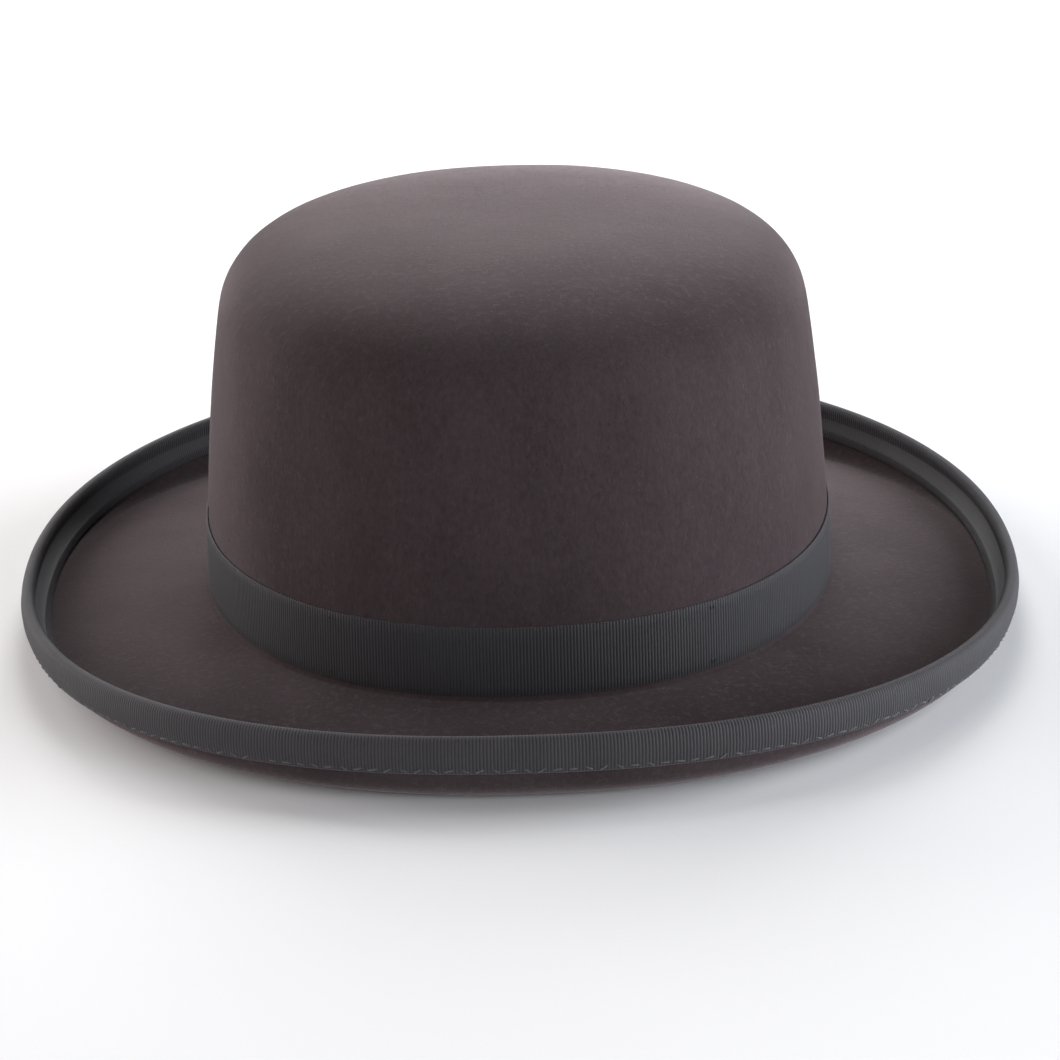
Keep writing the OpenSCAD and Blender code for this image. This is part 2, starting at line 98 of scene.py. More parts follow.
@dataclass(frozen=True)
class HatForm:
    """The hat's sizes as its maker gives them, and the places on it that follow from them.

    A direction t is 0 at the wearer's left and a quarter turn at the back. Methods take arrays.
    """

    head_w: float = 166 * MM
    head_l: float = 196 * MM
    oval_power: float = 2.18
    felt_t: float = 2.4 * MM
    crown_h: float = 104 * MM
    shoulder_h: float = 78 * MM
    wall_lean: float = 0.064
    dome_power: float = 2.8
    break_r: float = 1.5 * MM
    brim_side_w: float = 52.6 * MM
    brim_front_w: float = 51.4 * MM
    slope_side: float = math.radians(-7)
    slope_front: float = math.radians(-11.5)
    curl_side_r: float = 4.8 * MM
    curl_front_r: float = 12.2 * MM
    curl_side_turn: float = math.radians(113)
    curl_front_turn: float = math.radians(118)
    dip: float = 1.5 * MM
    ribbon_t: float = 0.6 * MM
    ribbon_gap: float = 0.1 * MM
    hollow_gap: float = 0.25 * MM
    layer_gap: float = 0.4 * MM
    satin_t: float = 0.4 * MM
    sweat_t: float = 1.1 * MM

    @property
    def lining_in(self) -> float:
        """Depth of the lining's outer face inside the felt's outer face."""
        return self.felt_t + self.layer_gap

    @property
    def sweat_in(self) -> float:
        """Depth of the leather's outer face inside the felt's outer face."""
        return self.lining_in + self.satin_t + self.layer_gap

    @property
    def stack(self) -> float:
        """Depth of the leather's inner face inside the felt's outer face."""
        return self.sweat_in + self.sweat_t

    @property
    def crown_a(self) -> float:
        """Half width of the crown's foot on the felt's outer face."""
        return self.head_w / 2 + self.stack

    @property
    def crown_b(self) -> float:
        """Half length of the crown's foot on the felt's outer face."""
        return self.head_l / 2 + self.stack

    @property
    def ribbon_out(self) -> float:
        """Height of a ribbon's outer face above the felt."""
        return self.ribbon_gap + self.ribbon_t

    @staticmethod
    def mix(side: float, front: float, t: Array) -> Array:
        """A size that passes from its value at the sides to its value at the front and back."""
        return side + (front - side) * np.sin(t) ** 2

    def oval_r(self, t: Array, a: Array, b: Array) -> Array:
        """Distance from the middle at direction t of an oval of half width a and half length b."""
        power = self.oval_power
        return (np.abs(np.cos(t) / a) ** power + np.abs(np.sin(t) / b) ** power) ** (-1 / power)

    def oval(self, t: Array, a: Array, b: Array, z: Array) -> Array:
        """Points on an oval of half width a and half length b, at height z."""
        r = self.oval_r(t, a, b)
        return np.stack(np.broadcast_arrays(r * np.cos(t), r * np.sin(t), z), axis=-1)

    def out(self, t: Array, place: tuple[Array, Array]) -> Array:
        """Points at a place given as distance outside the crown's foot and height."""
        return self.oval(t, self.crown_a + place[0], self.crown_b + place[0], place[1])

    def slope(self, t: Array) -> Array:
        """Slope of the brim, upwards from the crown."""
        return self.mix(self.slope_side, self.slope_front, t)

    def curl_turn(self, t: Array) -> Array:
        """Angle through which the edge of the brim is curled."""
        return self.mix(self.curl_side_turn, self.curl_front_turn, t)

    def curl_r(self, t: Array) -> Array:
        """Radius of the curl's outer face."""
        return self.mix(self.curl_side_r, self.curl_front_r, t) + self.felt_t

    def run(self, t: Array) -> Array:
        """Distance out to the start of the curl."""
        width = self.mix(self.brim_side_w, self.brim_front_w, t)
        return width - self.curl_r(t) * (1 - np.sin(self.slope(t)))

    def drop(self, t: Array) -> Array:
        """Depth of the brim's lowest line below the foot of the crown."""
        slope = self.slope(t)
        return self.felt_t + self.curl_r(t) * (1 - np.cos(slope)) - self.run(t) * np.tan(slope)

    @property
    def stand(self) -> float:
        """Height of the foot of the crown at the front."""
        front, side = np.array(math.pi / 2), np.array(0.0)
        return float(max(self.drop(front), self.drop(side) - self.dip))

    def foot(self, t: Array) -> Array:
        """Height of the foot of the crown."""
        return self.stand + self.dip * np.cos(t) ** 2

    def curl_at(self, t: Array, turned: Array, r: Array) -> tuple[Array, Array]:
        """Place on the curl, turned from its start, at radius r."""
        slope, outer, run = self.slope(t), self.curl_r(t), self.run(t)
        out = run - outer * np.sin(slope) + r * np.sin(slope + turned)
        up = self.foot(t) - self.felt_t + run * np.tan(slope) + outer * np.cos(slope)
        return out, up - r * np.cos(slope + turned)

    def back_from_rim(self, t: Array, w: float, off: float) -> tuple[Array, Array]:
        """Place at distance w along the brim back from its rim, off outside the felt's outer face."""
        r = self.curl_r(t) + off
        arc = self.curl_turn(t) * r
        turned = np.maximum(self.curl_turn(t) - w / r, 0)
        out, up = self.curl_at(t, turned, r)
        past = np.maximum(w - arc, 0)
        return out - past * np.cos(self.slope(t)), up - past * np.sin(self.slope(t))

    def rim_at(self, t: Array, f: float, r: float) -> tuple[Array, Array]:
        """Place on the round of radius r about the middle of the felt's edge; f runs from the outer
        face, 0, to the inner face, half a turn."""
        turned = self.curl_turn(t)
        out, up = self.curl_at(t, turned, self.curl_r(t) - self.felt_t / 2)
        way = self.slope(t) + turned
        out = out + r * (math.cos(f) * np.sin(way) + math.sin(f) * np.cos(way))
        return out, up + r * (math.sin(f) * np.sin(way) - math.cos(f) * np.cos(way))

    def crown(self, t: Array, u: float, g: float) -> Array:
        """Points on the crown: u from 0 to 1 goes up its side, from 1 to 2 round its dome.

        Args:
            t: Directions.
            u: How far up.
            g: Depth inside the felt's outer face.

        Returns:
            One point for each direction.
        """
        if u <= 1:
            share, rise = 1 - self.wall_lean * u * u, u * self.shoulder_h
        else:
            f = (u - 1) * math.pi / 2
            level = max(math.cos(f), 0.0) ** (2 / self.dome_power)
            up = math.sin(f) ** (2 / self.dome_power)
            tuck = 2 * self.wall_lean * (self.crown_h - self.shoulder_h) / self.shoulder_h
            share = (1 - self.wall_lean) * level - tuck * up * level
            rise = self.shoulder_h + (self.crown_h - self.shoulder_h - g) * up
        z = rise + self.stand + (self.foot(t) - self.stand) * (1 - rise / self.crown_h)
        return self.oval(t, (self.crown_a - g) * share, (self.crown_b - g) * share, z)

    def side(self, t: Array, h: Array, g: Array) -> Array:
        """Points on the crown's straight side at height h above the foot, g inside its outer face."""
        share = 1 - self.wall_lean * (h / self.shoulder_h) ** 2
        z = h + self.stand + (self.foot(t) - self.stand) * (1 - h / self.crown_h)
        return self.oval(t, (self.crown_a - g) * share, (self.crown_b - g) * share, z)

    def laid(self, t0: float, s: Array, h: Array, g: Array) -> Array:
        """Points s along the crown from direction t0, at height h and depth g."""
        step = s / self.oval_r(np.array(t0), self.crown_a, self.crown_b)
        return self.side(t0 + step, h, g)

    def even_turns(self, count: int, grow: float = 0.0) -> Array:
        """Directions that are evenly spaced along the oval, grow outside the foot of the crown."""
        fine = np.linspace(0, FULL_TURN, 4096)
        line = self.out(fine, (np.full_like(fine, grow), np.zeros_like(fine)))
        run = run_of(line)
        return np.interp(np.arange(count) / count * run[-1], run, fine)


# ---------------------------------------------------------------- meshes


class Ends(Enum):
    """How the rows of a shell meet."""

    RING = "the last row joins the first"
    POLES = "each end closes in one point"
    CAPS = "rows join round, and the two ends of every row are closed flat"


@dataclass
class Shell:
    """A closed surface carried through rows of points, and what its cloth and its ribs need.

    rows holds one line of points for each row. weight is how much of a rib or of the unevenness
    shows in each row, and phase a further turn of the ribs in each row. threads is the number of
    threads along a row, and flat lays the cloth level instead of along the rows.
    """

    name: str
    rows: Array
    ends: Ends = Ends.RING
    poles: tuple[Sequence[float], Sequence[float]] | None = None
    weight: Array | None = None
    phase: Array | None = None
    threads: float = 1.0
    flat: bool = False

    def faces(self) -> list[tuple[int, ...]]:
        """The faces, each the same way round."""
        m, n = self.rows.shape[:2]
        open_path = self.ends is Ends.CAPS
        cols = range(n - 1 if open_path else n)
        steps = range(m - 1 if self.ends is Ends.POLES else m)
        made = [
            (j * n + i, j * n + (i + 1) % n, (j + 1) % m * n + (i + 1) % n, (j + 1) % m * n + i)
            for j in steps for i in cols
        ]
        if self.ends is Ends.POLES:
            made += [(m * n, (i + 1) % n, i) for i in range(n)]
            made += [((m - 1) * n + i, (m - 1) * n + (i + 1) % n, m * n + 1) for i in range(n)]
        elif open_path:
            made.append(tuple(j * n for j in range(m)))
            made.append(tuple(j * n + n - 1 for j in reversed(range(m))))
        return made

    def points(self) -> Array:
        """All points, the poles last."""
        flat = self.rows.reshape(-1, 3)
        return np.vstack([flat, np.array(self.poles)]) if self.poles else flat

    def object(self) -> bpy.types.Object:
        """Makes the mesh object, with its faces outwards, its cloth coordinates and its ribs' ways.

        Returns:
            The new object, linked to the scene and standing at the origin.
        """
        points, faces = self.points(), self.faces()
        inside_out = signed_volume(points, faces) < 0
        if inside_out:
            faces = [tuple(reversed(face)) for face in faces]
        mesh = bpy.data.meshes.new(self.name)
        mesh.from_pydata(points.tolist(), [], faces)
        mesh.polygons.foreach_set("use_smooth", [True] * len(faces))
        self._lay_cloth(mesh)
        if self.weight is not None:
            self._lay_ribs(mesh, len(points), -1.0 if inside_out else 1.0)
        obj = bpy.data.objects.new(self.name, mesh)
        bpy.context.scene.collection.objects.link(obj)
        return obj

    def _lay_cloth(self, mesh: bpy.types.Mesh) -> None:
        """Writes the cloth coordinates: threads along the rows, and millimetres across them."""
        m, n = self.rows.shape[:2]
        across = np.linalg.norm(np.diff(self.rows[:, ::8], axis=0), axis=2).mean(axis=1)
        across = np.concatenate([[0], np.cumsum(across), [across.sum() + across.mean()]]) / MM
        corner = np.empty(len(mesh.loops), np.int32)
        mesh.loops.foreach_get("vertex_index", corner)
        start = np.empty(len(mesh.polygons), np.int32)
        total = np.empty(len(mesh.polygons), np.int32)
        mesh.polygons.foreach_get("loop_start", start)
        mesh.polygons.foreach_get("loop_total", total)
        face = np.repeat(np.arange(len(start)), total)
        row, col = np.minimum(corner // n, m), corner % n
        first_row = np.maximum.reduceat(row, start)[face]
        first_col = np.maximum.reduceat(col, start)[face]
        row = np.where((row == 0) & (first_row == m - 1) & (total[face] == 4), m, row)
        if self.ends is not Ends.CAPS:
            col = np.where((col == 0) & (first_col == n - 1), n, col)
        uv = np.stack([col / n * self.threads, across[row]], axis=1)
        if self.flat:
            uv = self.points()[corner][:, :2] / MM * (self.threads, 1.0)
        layer = mesh.uv_layers.new(name="cloth")
        layer.data.foreach_set("uv", uv.astype(np.float32).ravel())

    def _lay_ribs(self, mesh: bpy.types.Mesh, count: int, sign: float) -> None:
        """Writes where each point is along the ribs, and the way a rib stands out there."""
        m, n = self.rows.shape[:2]
        lay, out = np.zeros((count, 3)), np.zeros((count, 3))
        phase = np.zeros(m) if self.phase is None else self.phase
        grid = lay[: m * n].reshape(m, n, 3)
        grid[..., 0] = np.arange(n) / n
        grid[..., 1] = np.broadcast_to(self.weight.reshape(m, -1), (m, n))
        grid[..., 2] = phase[:, None]
        out[: m * n] = self.normals().reshape(-1, 3) * sign
        if self.poles:
            out[-2:], lay[-2:, 1] = out[[0, m * n - 1]], lay[[0, m * n - 1], 1]
        for name, values in (("lay", lay), ("out", out)):
            attribute = mesh.attributes.new(name, "FLOAT_VECTOR", "POINT")
            attribute.data.foreach_set("vector", values.astype(np.float32).ravel())

    def normals(self) -> Array:
        """Unit ways square to the surface, to the side that its faces turn to."""
        along = np.roll(self.rows, -1, axis=1) - np.roll(self.rows, 1, axis=1)
        if self.ends is Ends.POLES:
            across = np.gradient(self.rows, axis=0)
        else:
            across = np.roll(self.rows, -1, axis=0) - np.roll(self.rows, 1, axis=0)
        normal = np.cross(along, across)
        return normal / np.maximum(np.linalg.norm(normal, axis=2, keepdims=True), 1e-12)


def signed_volume(points: Array, faces: Iterable[tuple[int, ...]]) -> float:
    """Volume inside the faces, below zero where they point inwards."""
    fans = [(face[0], face[k], face[k + 1]) for face in faces for k in range(1, len(face) - 1)]
    a, b, c = (points[np.array(fans)[:, k]] for k in range(3))
    return float(np.einsum("ij,ij->", a, np.cross(b, c)))


def wire(name: str, lines: list[Array], outs: list[Array], closed: bool) -> bpy.types.Object:
    """Lines of edges that stitches follow, with the way out of the cloth at each of their points.

    Args:
        name: The object's name.
        lines: The points of each line.
        outs: The ways out, in the same order.
        closed: Whether each line joins round.

    Returns:
        The new object.
    """
    edges, start = [], 0
    for line in lines:
        n = len(line)
        edges += [(start + i, start + (i + 1) % n) for i in range(n if closed else n - 1)]
        start += n
    mesh = bpy.data.meshes.new(name)
    mesh.from_pydata(np.vstack(lines).tolist(), edges, [])
    attribute = mesh.attributes.new("out", "FLOAT_VECTOR", "POINT")
    attribute.data.foreach_set("vector", np.vstack(outs).astype(np.float32).ravel())
    obj = bpy.data.objects.new(name, mesh)
    bpy.context.scene.collection.objects.link(obj)
    return obj


# ---------------------------------------------------------------- node trees


@dataclass
class Graph:
    """A node tree that is being wired."""

    tree: bpy.types.NodeTree

    @classmethod
    def group(cls, name: str, kind: str, outputs: dict[str, str], inputs: dict[str, str | int | float]
              ) -> tuple["Graph", bpy.types.Node, bpy.types.Node]:
        """Starts a node group.

        Args:
            name: The group's name.
            kind: The kind of tree, such as GeometryNodeTree.
            outputs: The kind of each output socket, by name.
            inputs: For each input socket, its kind, or the first value of a number.

        Returns:
            The group, its input node and its output node.
        """
        tree = bpy.data.node_groups.new(name, kind)
        for way, sockets in (("OUTPUT", outputs), ("INPUT", inputs)):
            for socket, given in sockets.items():
                sort = given if isinstance(given, str) else "Int" if isinstance(given, int) else "Float"
                made = tree.interface.new_socket(socket, in_out=way, socket_type=f"NodeSocket{sort}")
                if not isinstance(given, str):
                    made.default_value = given
        return cls(tree), tree.nodes.new("NodeGroupInput"), tree.nodes.new("NodeGroupOutput")

    def add(self, kind: str, wires: dict | None = None, **settings: object) -> bpy.types.Node:
        """Adds a node.

        Args:
            kind: The node's type name.
            wires: For each input, by name or number, a socket or node to link or a value to set.
            **settings: The node's own properties.

        Returns:
            The node.
        """
        node = self.tree.nodes.new(kind)
        for name, value in settings.items():
            setattr(node, name, value)
        for key, value in (wires or {}).items():
            if isinstance(value, bpy.types.Node):
                value = value.outputs[0]
            if isinstance(value, bpy.types.NodeSocket):
                self.tree.links.new(value, node.inputs[key])
            else:
                node.inputs[key].default_value = value
        return node

    def math(self, operation: str, a: object, b: object = 0.0) -> bpy.types.NodeSocket:
        """A sum of two numbers or sockets."""
        return self.add("ShaderNodeMath", {0: a, 1: b}, operation=operation).outputs[0]

    def vector(self, operation: str, a: object, b: object) -> bpy.types.NodeSocket:
        """A sum of two vectors or sockets."""
        return self.add("ShaderNodeVectorMath", {0: a, 1: b}, operation=operation).outputs[0]

    def rescale(self, value: object, low: float, high: float, to_low: float = 0.0,
                to_high: float = 1.0) -> bpy.types.NodeSocket:
        """Maps a span of values to another, and stops at its ends."""
        wires = {0: value, 1: low, 2: high, 3: to_low, 4: to_high}
        return self.add("ShaderNodeMapRange", wires).outputs[0]

    def blend(self, factor: object, a: object, b: object, how: str = "MIX") -> bpy.types.NodeSocket:
        """Mixes two colours."""
        a, b = (value if isinstance(value, bpy.types.NodeSocket) else (*value, 1.0) for value in (a, b))
        node = self.add("ShaderNodeMix", {0: factor, 6: a, 7: b}, data_type="RGBA", blend_type=how)
        return node.outputs[2]

    def scaled(self, vector: object, scale: object) -> bpy.types.NodeSocket:
        """A vector times a number."""
        wires = {0: vector, "Scale": scale}
        return self.add("ShaderNodeVectorMath", wires, operation="SCALE").outputs[0]

    def carried(self, name: str) -> bpy.types.NodeSocket:
        """A vector that each point of a mesh carries by name."""
        wires = {"Name": name}
        return self.add("GeometryNodeInputNamedAttribute", wires, data_type="FLOAT_VECTOR").outputs[0]


def made_by(tree: bpy.types.NodeTree, obj: bpy.types.Object, **inputs: object) -> bpy.types.Object:
    """Runs an object through a Geometry Nodes tree and keeps the result as its plain mesh.

    Args:
        tree: The tree.
        obj: The object that it starts from.
        **inputs: Values of the tree's inputs, by name with underscores for spaces.

    Returns:
        The same object with its new mesh and no modifier.
    """
    modifier = obj.modifiers.new(tree.name, "NODES")
    modifier.node_group = tree
    known = {
        item.name.lower().replace(" ", "_"): item.identifier
        for item in tree.interface.items_tree if item.in_out == "INPUT"
    }
    for name, value in inputs.items():
        modifier[known[name]] = value
    graph = bpy.context.evaluated_depsgraph_get()
    mesh = bpy.data.meshes.new_from_object(obj.evaluated_get(graph), depsgraph=graph)
    obj.modifiers.clear()
    mesh.name = obj.name
    obj.data = mesh
    return obj


class Trees:
    """The Geometry Nodes trees, each built once."""

    def __init__(self) -> None:
        """Builds them all."""
        self.ribs = self._ribs()
        self.stitches = self._stitches()
        self.hand = self._hand()

    def _raise(self, g: Graph, given: bpy.types.Node, last: bpy.types.Node, height: object) -> None:
        """Ends a tree that moves its points out of the surface by a height."""
        shift = g.scaled(g.carried("out"), height)
        moved = g.add("GeometryNodeSetPosition", {"Geometry": given.outputs["Geometry"], "Offset": shift})
        self._close(g, given, last, moved)

    @staticmethod
    def _close(g: Graph, given: bpy.types.Node, last: bpy.types.Node, geometry: object) -> None:
        """Ends a tree in Realize Instances and Set Material."""
        real = g.add("GeometryNodeRealizeInstances", {0: geometry})
        dressed = g.add("GeometryNodeSetMaterial", {0: real, "Material": given.outputs["Material"]})
        g.tree.links.new(dressed.outputs[0], last.inputs[0])

    def _ribs(self) -> bpy.types.NodeTree:
        """Ribs, gathers or the turns of a cord: rows of ridges that stand out of a surface."""
        g, given, last = Graph.group(
            "ribs", "GeometryNodeTree", {"Geometry": "Geometry"},
            {"Geometry": "Geometry", "Count": 100, "Depth": 0.1 * MM, "Roundness": 0.6,
             "Material": "Material"})
        parts = g.add("ShaderNodeSeparateXYZ", {0: g.carried("lay")})
        ribs = g.math("MULTIPLY", parts.outputs["X"], given.outputs["Count"])
        ribs = g.math("ADD", ribs, parts.outputs["Z"])
        wave = g.math("ABSOLUTE", g.math("SINE", g.math("MULTIPLY", ribs, math.pi)))
        ridge = g.math("SUBTRACT", g.math("POWER", wave, given.outputs["Roundness"]), 1.0)
        depth = g.math("MULTIPLY", g.math("MULTIPLY", ridge, given.outputs["Depth"]), parts.outputs["Y"])
        self._raise(g, given, last, depth)
        return g.tree

    def _stitches(self) -> bpy.types.NodeTree:
        """A row of stitches along a line: each an arch of thread that dips into the cloth."""
        g, given, last = Graph.group(
            "stitches", "GeometryNodeTree", {"Geometry": "Geometry"},
            {"Geometry": "Geometry", "Count": 60, "Length": 2.5 * MM, "Thread": 0.5 * MM, "Slant": 0.2,
             "Turn": 0.0, "Zigzag": 0.0, "Seed": 1, "Material": "Material"})
        path = g.add("GeometryNodeMeshToCurve", {0: given.outputs["Geometry"]})
        row = g.add("GeometryNodeResampleCurve", {"Curve": path, "Count": given.outputs["Count"]})
        half = g.math("MULTIPLY", given.outputs["Length"], 0.5)
        dive = g.math("MULTIPLY", given.outputs["Thread"], -0.7)
        rise = g.math("MULTIPLY", given.outputs["Thread"], 0.7)
        start = g.add("ShaderNodeCombineXYZ", {0: g.math("MULTIPLY", half, -1.0), 2: dive})
        top = g.add("ShaderNodeCombineXYZ", {2: rise})
        end = g.add("ShaderNodeCombineXYZ", {0: half, 2: dive})
        arch = g.add("GeometryNodeCurveQuadraticBezier", {0: 6, 1: start, 2: top, 3: end})
        ring = g.add("GeometryNodeCurvePrimitiveCircle", {
            "Resolution": 6, "Radius": g.math("MULTIPLY", given.outputs["Thread"], 0.5)})
        thread = g.add("GeometryNodeCurveToMesh", {"Curve": arch, "Profile Curve": ring, "Fill Caps": True})
        along = g.add("GeometryNodeInputTangent")
        upright = g.add("FunctionNodeAlignRotationToVector", {"Vector": g.carried("out")}, axis="Z")
        laid = g.add("FunctionNodeAlignRotationToVector", {"Rotation": upright, "Vector": along},
                     axis="X", pivot_axis="Z")
        slant = g.add("FunctionNodeRandomValue", {
            2: g.math("MULTIPLY", given.outputs["Slant"], -1.0), 3: given.outputs["Slant"],
            "Seed": given.outputs["Seed"]}, data_type="FLOAT")
        parity = g.math("PINGPONG", g.add("GeometryNodeInputIndex").outputs[0], 1.0)
        swing = g.math("MULTIPLY", g.math("SUBTRACT", parity, 0.5), given.outputs["Zigzag"])
        angle = g.math("ADD", g.math("ADD", slant.outputs[1], given.outputs["Turn"]), swing)
        turn = g.add("FunctionNodeAxisAngleToRotation", {"Axis": (0, 0, 1), "Angle": angle})
        turned = g.add("FunctionNodeRotateRotation", {0: laid, 1: turn}, rotation_space="LOCAL")
        size = g.add("FunctionNodeRandomValue", {2: 0.85, 3: 1.12, "Seed": given.outputs["Seed"]},
                     data_type="FLOAT")
        placed = g.add("GeometryNodeInstanceOnPoints", {
            "Points": row, "Instance": thread, "Rotation": turned, "Scale": size.outputs[1]})
        self._close(g, given, last, g.add("GeometryNodeSetShadeSmooth", {0: placed}))
        return g.tree

    def _hand(self) -> bpy.types.NodeTree:
        """The slight unevenness of blocked felt and of leather, where nothing lies on it."""
        g, given, last = Graph.group(
            "hand", "GeometryNodeTree", {"Geometry": "Geometry"},
            {"Geometry": "Geometry", "Unevenness": 0.4 * MM, "Spacing": 30 * MM, "Material": "Material"})
        free = g.add("ShaderNodeSeparateXYZ", {0: g.carried("lay")}).outputs["Y"]
        scale = g.math("DIVIDE", 1.0, given.outputs["Spacing"])
        noise = g.add("ShaderNodeTexNoise", {"Scale": scale, "Detail": 2.0, "Roughness": 0.45})
        height = g.math("MULTIPLY", g.math("SUBTRACT", noise.outputs[0], 0.5), given.outputs["Unevenness"])
        self._raise(g, given, last, g.math("MULTIPLY", height, free))
        return g.tree


# ---------------------------------------------------------------- finishes


class Effects:
    """Shader groups that more than one finish uses, each built once."""

    def __init__(self) -> None:
        """Builds them all."""
        self.mottle = self._mottle()
        self.fibres = self._fibres()
        self.weave = self._weave()

    def _mottle(self) -> bpy.types.NodeTree:
        """Cloudy unevenness of colour, coarse and fine."""
        g, given, last = Graph.group("mottle", "ShaderNodeTree", {"Value": "Float"}, {
            "Vector": "Vector", "Coarse": 60.0, "Fine": 400.0, "Fine share": 0.4})
        where = given.outputs["Vector"]
        coarse = g.add("ShaderNodeTexNoise", {
            "Vector": where, "Scale": given.outputs["Coarse"], "Detail": 3.0})
        fine = g.add("ShaderNodeTexNoise", {"Vector": where, "Scale": given.outputs["Fine"], "Detail": 2.0})
        shares = {0: given.outputs["Fine share"], 2: coarse, 3: fine}
        mixed = g.add("ShaderNodeMix", shares, data_type="FLOAT")
        g.tree.links.new(g.rescale(mixed, 0.3, 0.7), last.inputs[0])
        return g.tree

    def _fibres(self) -> bpy.types.NodeTree:
        """Short curly fibres that lie on the surface: a mask of light ones, one of dark ones, and
        their height."""
        g, given, last = Graph.group(
            "fibres", "ShaderNodeTree", {"Light": "Float", "Dark": "Float", "Height": "Float"},
            {"Vector": "Vector", "Scale": 700.0, "Curl": 1.2 * MM})
        where = given.outputs["Vector"]
        bend = g.add("ShaderNodeTexNoise", {"Vector": where, "Scale": g.math(
            "MULTIPLY", given.outputs["Scale"], 0.3), "Detail": 1.0})
        bend = g.vector("SUBTRACT", bend.outputs["Color"], (0.5, 0.5, 0.5))
        bent = g.vector("ADD", where, g.scaled(bend, given.outputs["Curl"]))
        strands = []
        for shift in (0.0, 0.37):
            moved = g.vector("ADD", bent, (shift, shift * 0.7, shift * 0.4))
            noise = g.add("ShaderNodeTexNoise", {
                "Vector": moved, "Scale": given.outputs["Scale"], "Detail": 2.0, "Roughness": 0.6})
            ridge = g.math("ABSOLUTE", g.math("SUBTRACT", noise.outputs[0], 0.5))
            line = g.rescale(ridge, 0.0, 0.035, 1.0, 0.0)
            patch = g.add("ShaderNodeTexNoise", {
                "Vector": moved, "Scale": g.math("MULTIPLY", given.outputs["Scale"], 0.45), "Detail": 0.0})
            strands.append(g.math("MULTIPLY", line, g.rescale(patch.outputs[0], 0.5, 0.68)))
        grain = g.add("ShaderNodeTexNoise", {
            "Vector": where, "Scale": g.math("MULTIPLY", given.outputs["Scale"], 2.2), "Detail": 3.0})
        height = g.math("ADD", g.math("MULTIPLY", strands[0], 0.5), grain.outputs[0])
        height = g.math("SUBTRACT", height, g.math("MULTIPLY", strands[1], 0.3))
        for number, value in enumerate((strands[0], strands[1], height)):
            g.tree.links.new(value, last.inputs[number])
        return g.tree

    def _weave(self) -> bpy.types.NodeTree:
        """Threads that cross: their height, and the shade between them. The cloth coordinates are
        counted in threads one way and in millimetres the other."""
        g, given, last = Graph.group(
            "weave", "ShaderNodeTree", {"Height": "Float", "Groove": "Float"},
            {"Vector": "Vector", "Weft": 4.0, "Weft share": 0.4})
        parts = g.add("ShaderNodeSeparateXYZ", {0: given.outputs["Vector"]})
        warp = g.math("ABSOLUTE", g.math("SINE", g.math("MULTIPLY", parts.outputs["X"], math.pi)))
        odd = g.math("MULTIPLY", g.math("FLOOR", parts.outputs["X"]), 0.5)
        line = g.math("ADD", g.math("MULTIPLY", parts.outputs["Y"], given.outputs["Weft"]), odd)
        weft = g.math("ABSOLUTE", g.math("SINE", g.math("MULTIPLY", line, math.pi)))
        shares = {0: given.outputs["Weft share"], 2: warp, 3: weft}
        height = g.add("ShaderNodeMix", shares, data_type="FLOAT")
        # Painted shade between the ribs: 1 where the warp dips, 0 on its crowns
        groove = g.rescale(warp, 0.0, 0.75, 1.0, 0.0)
        g.tree.links.new(height.outputs[0], last.inputs[0])
        g.tree.links.new(groove, last.inputs[1])
        return g.tree


@dataclass(frozen=True)
class Finish:
    """A finish's own numbers, which its kind of cloth turns into a material."""

    name: str
    colour: Colour
    second: Colour
    roughness: float = 0.8
    sheen: float = 0.3
    sheen_roughness: float = 0.4
    sheen_tint: Colour = (1.0, 1.0, 1.0)
    specular: float = 0.3

    def start(self) -> tuple[bpy.types.Material, Graph, bpy.types.Node]:
        """A new material with its shader, whose even values are set on the shader's own sockets."""
        material = bpy.data.materials.new(self.name)
        material.use_nodes = True
        material.node_tree.nodes.clear()
        g = Graph(material.node_tree)
        shader = g.add("ShaderNodeBsdfPrincipled", {
            "Roughness": self.roughness, "Sheen Weight": self.sheen,
            "Sheen Roughness": self.sheen_roughness, "Sheen Tint": (*self.sheen_tint, 1.0),
            "Specular IOR Level": self.specular})
        g.add("ShaderNodeOutputMaterial", {"Surface": shader})
        return material, g, shader

    def bump(self, g: Graph, shader: bpy.types.Node, height: object, distance: float,
             strength: float = 1.0) -> None:
        """Raises the surface by a height from 0 to 1 times a distance."""
        node = g.add("ShaderNodeBump", {"Height": height, "Distance": distance, "Strength": strength})
        g.tree.links.new(node.outputs[0], shader.inputs["Normal"])

    def colours(self, g: Graph, shader: bpy.types.Node, colour: object) -> None:
        """Links the colour."""
        g.tree.links.new(colour, shader.inputs["Base Color"])

    def cloth(self, g: Graph) -> bpy.types.NodeSocket:
        """The piece's own cloth coordinates."""
        return g.add("ShaderNodeUVMap", uv_map="cloth").outputs[0]

    def place(self, g: Graph) -> bpy.types.NodeSocket:
        """Object coordinates."""
        return g.add("ShaderNodeTexCoord").outputs["Object"]

    def group(self, g: Graph, tree: bpy.types.NodeTree, wires: dict) -> bpy.types.Node:
        """Places a shared effect."""
        node = g.add("ShaderNodeGroup", node_tree=tree)
        for name, value in wires.items():
            if isinstance(value, bpy.types.NodeSocket):
                g.tree.links.new(value, node.inputs[name])
            else:
                node.inputs[name].default_value = value
        return node


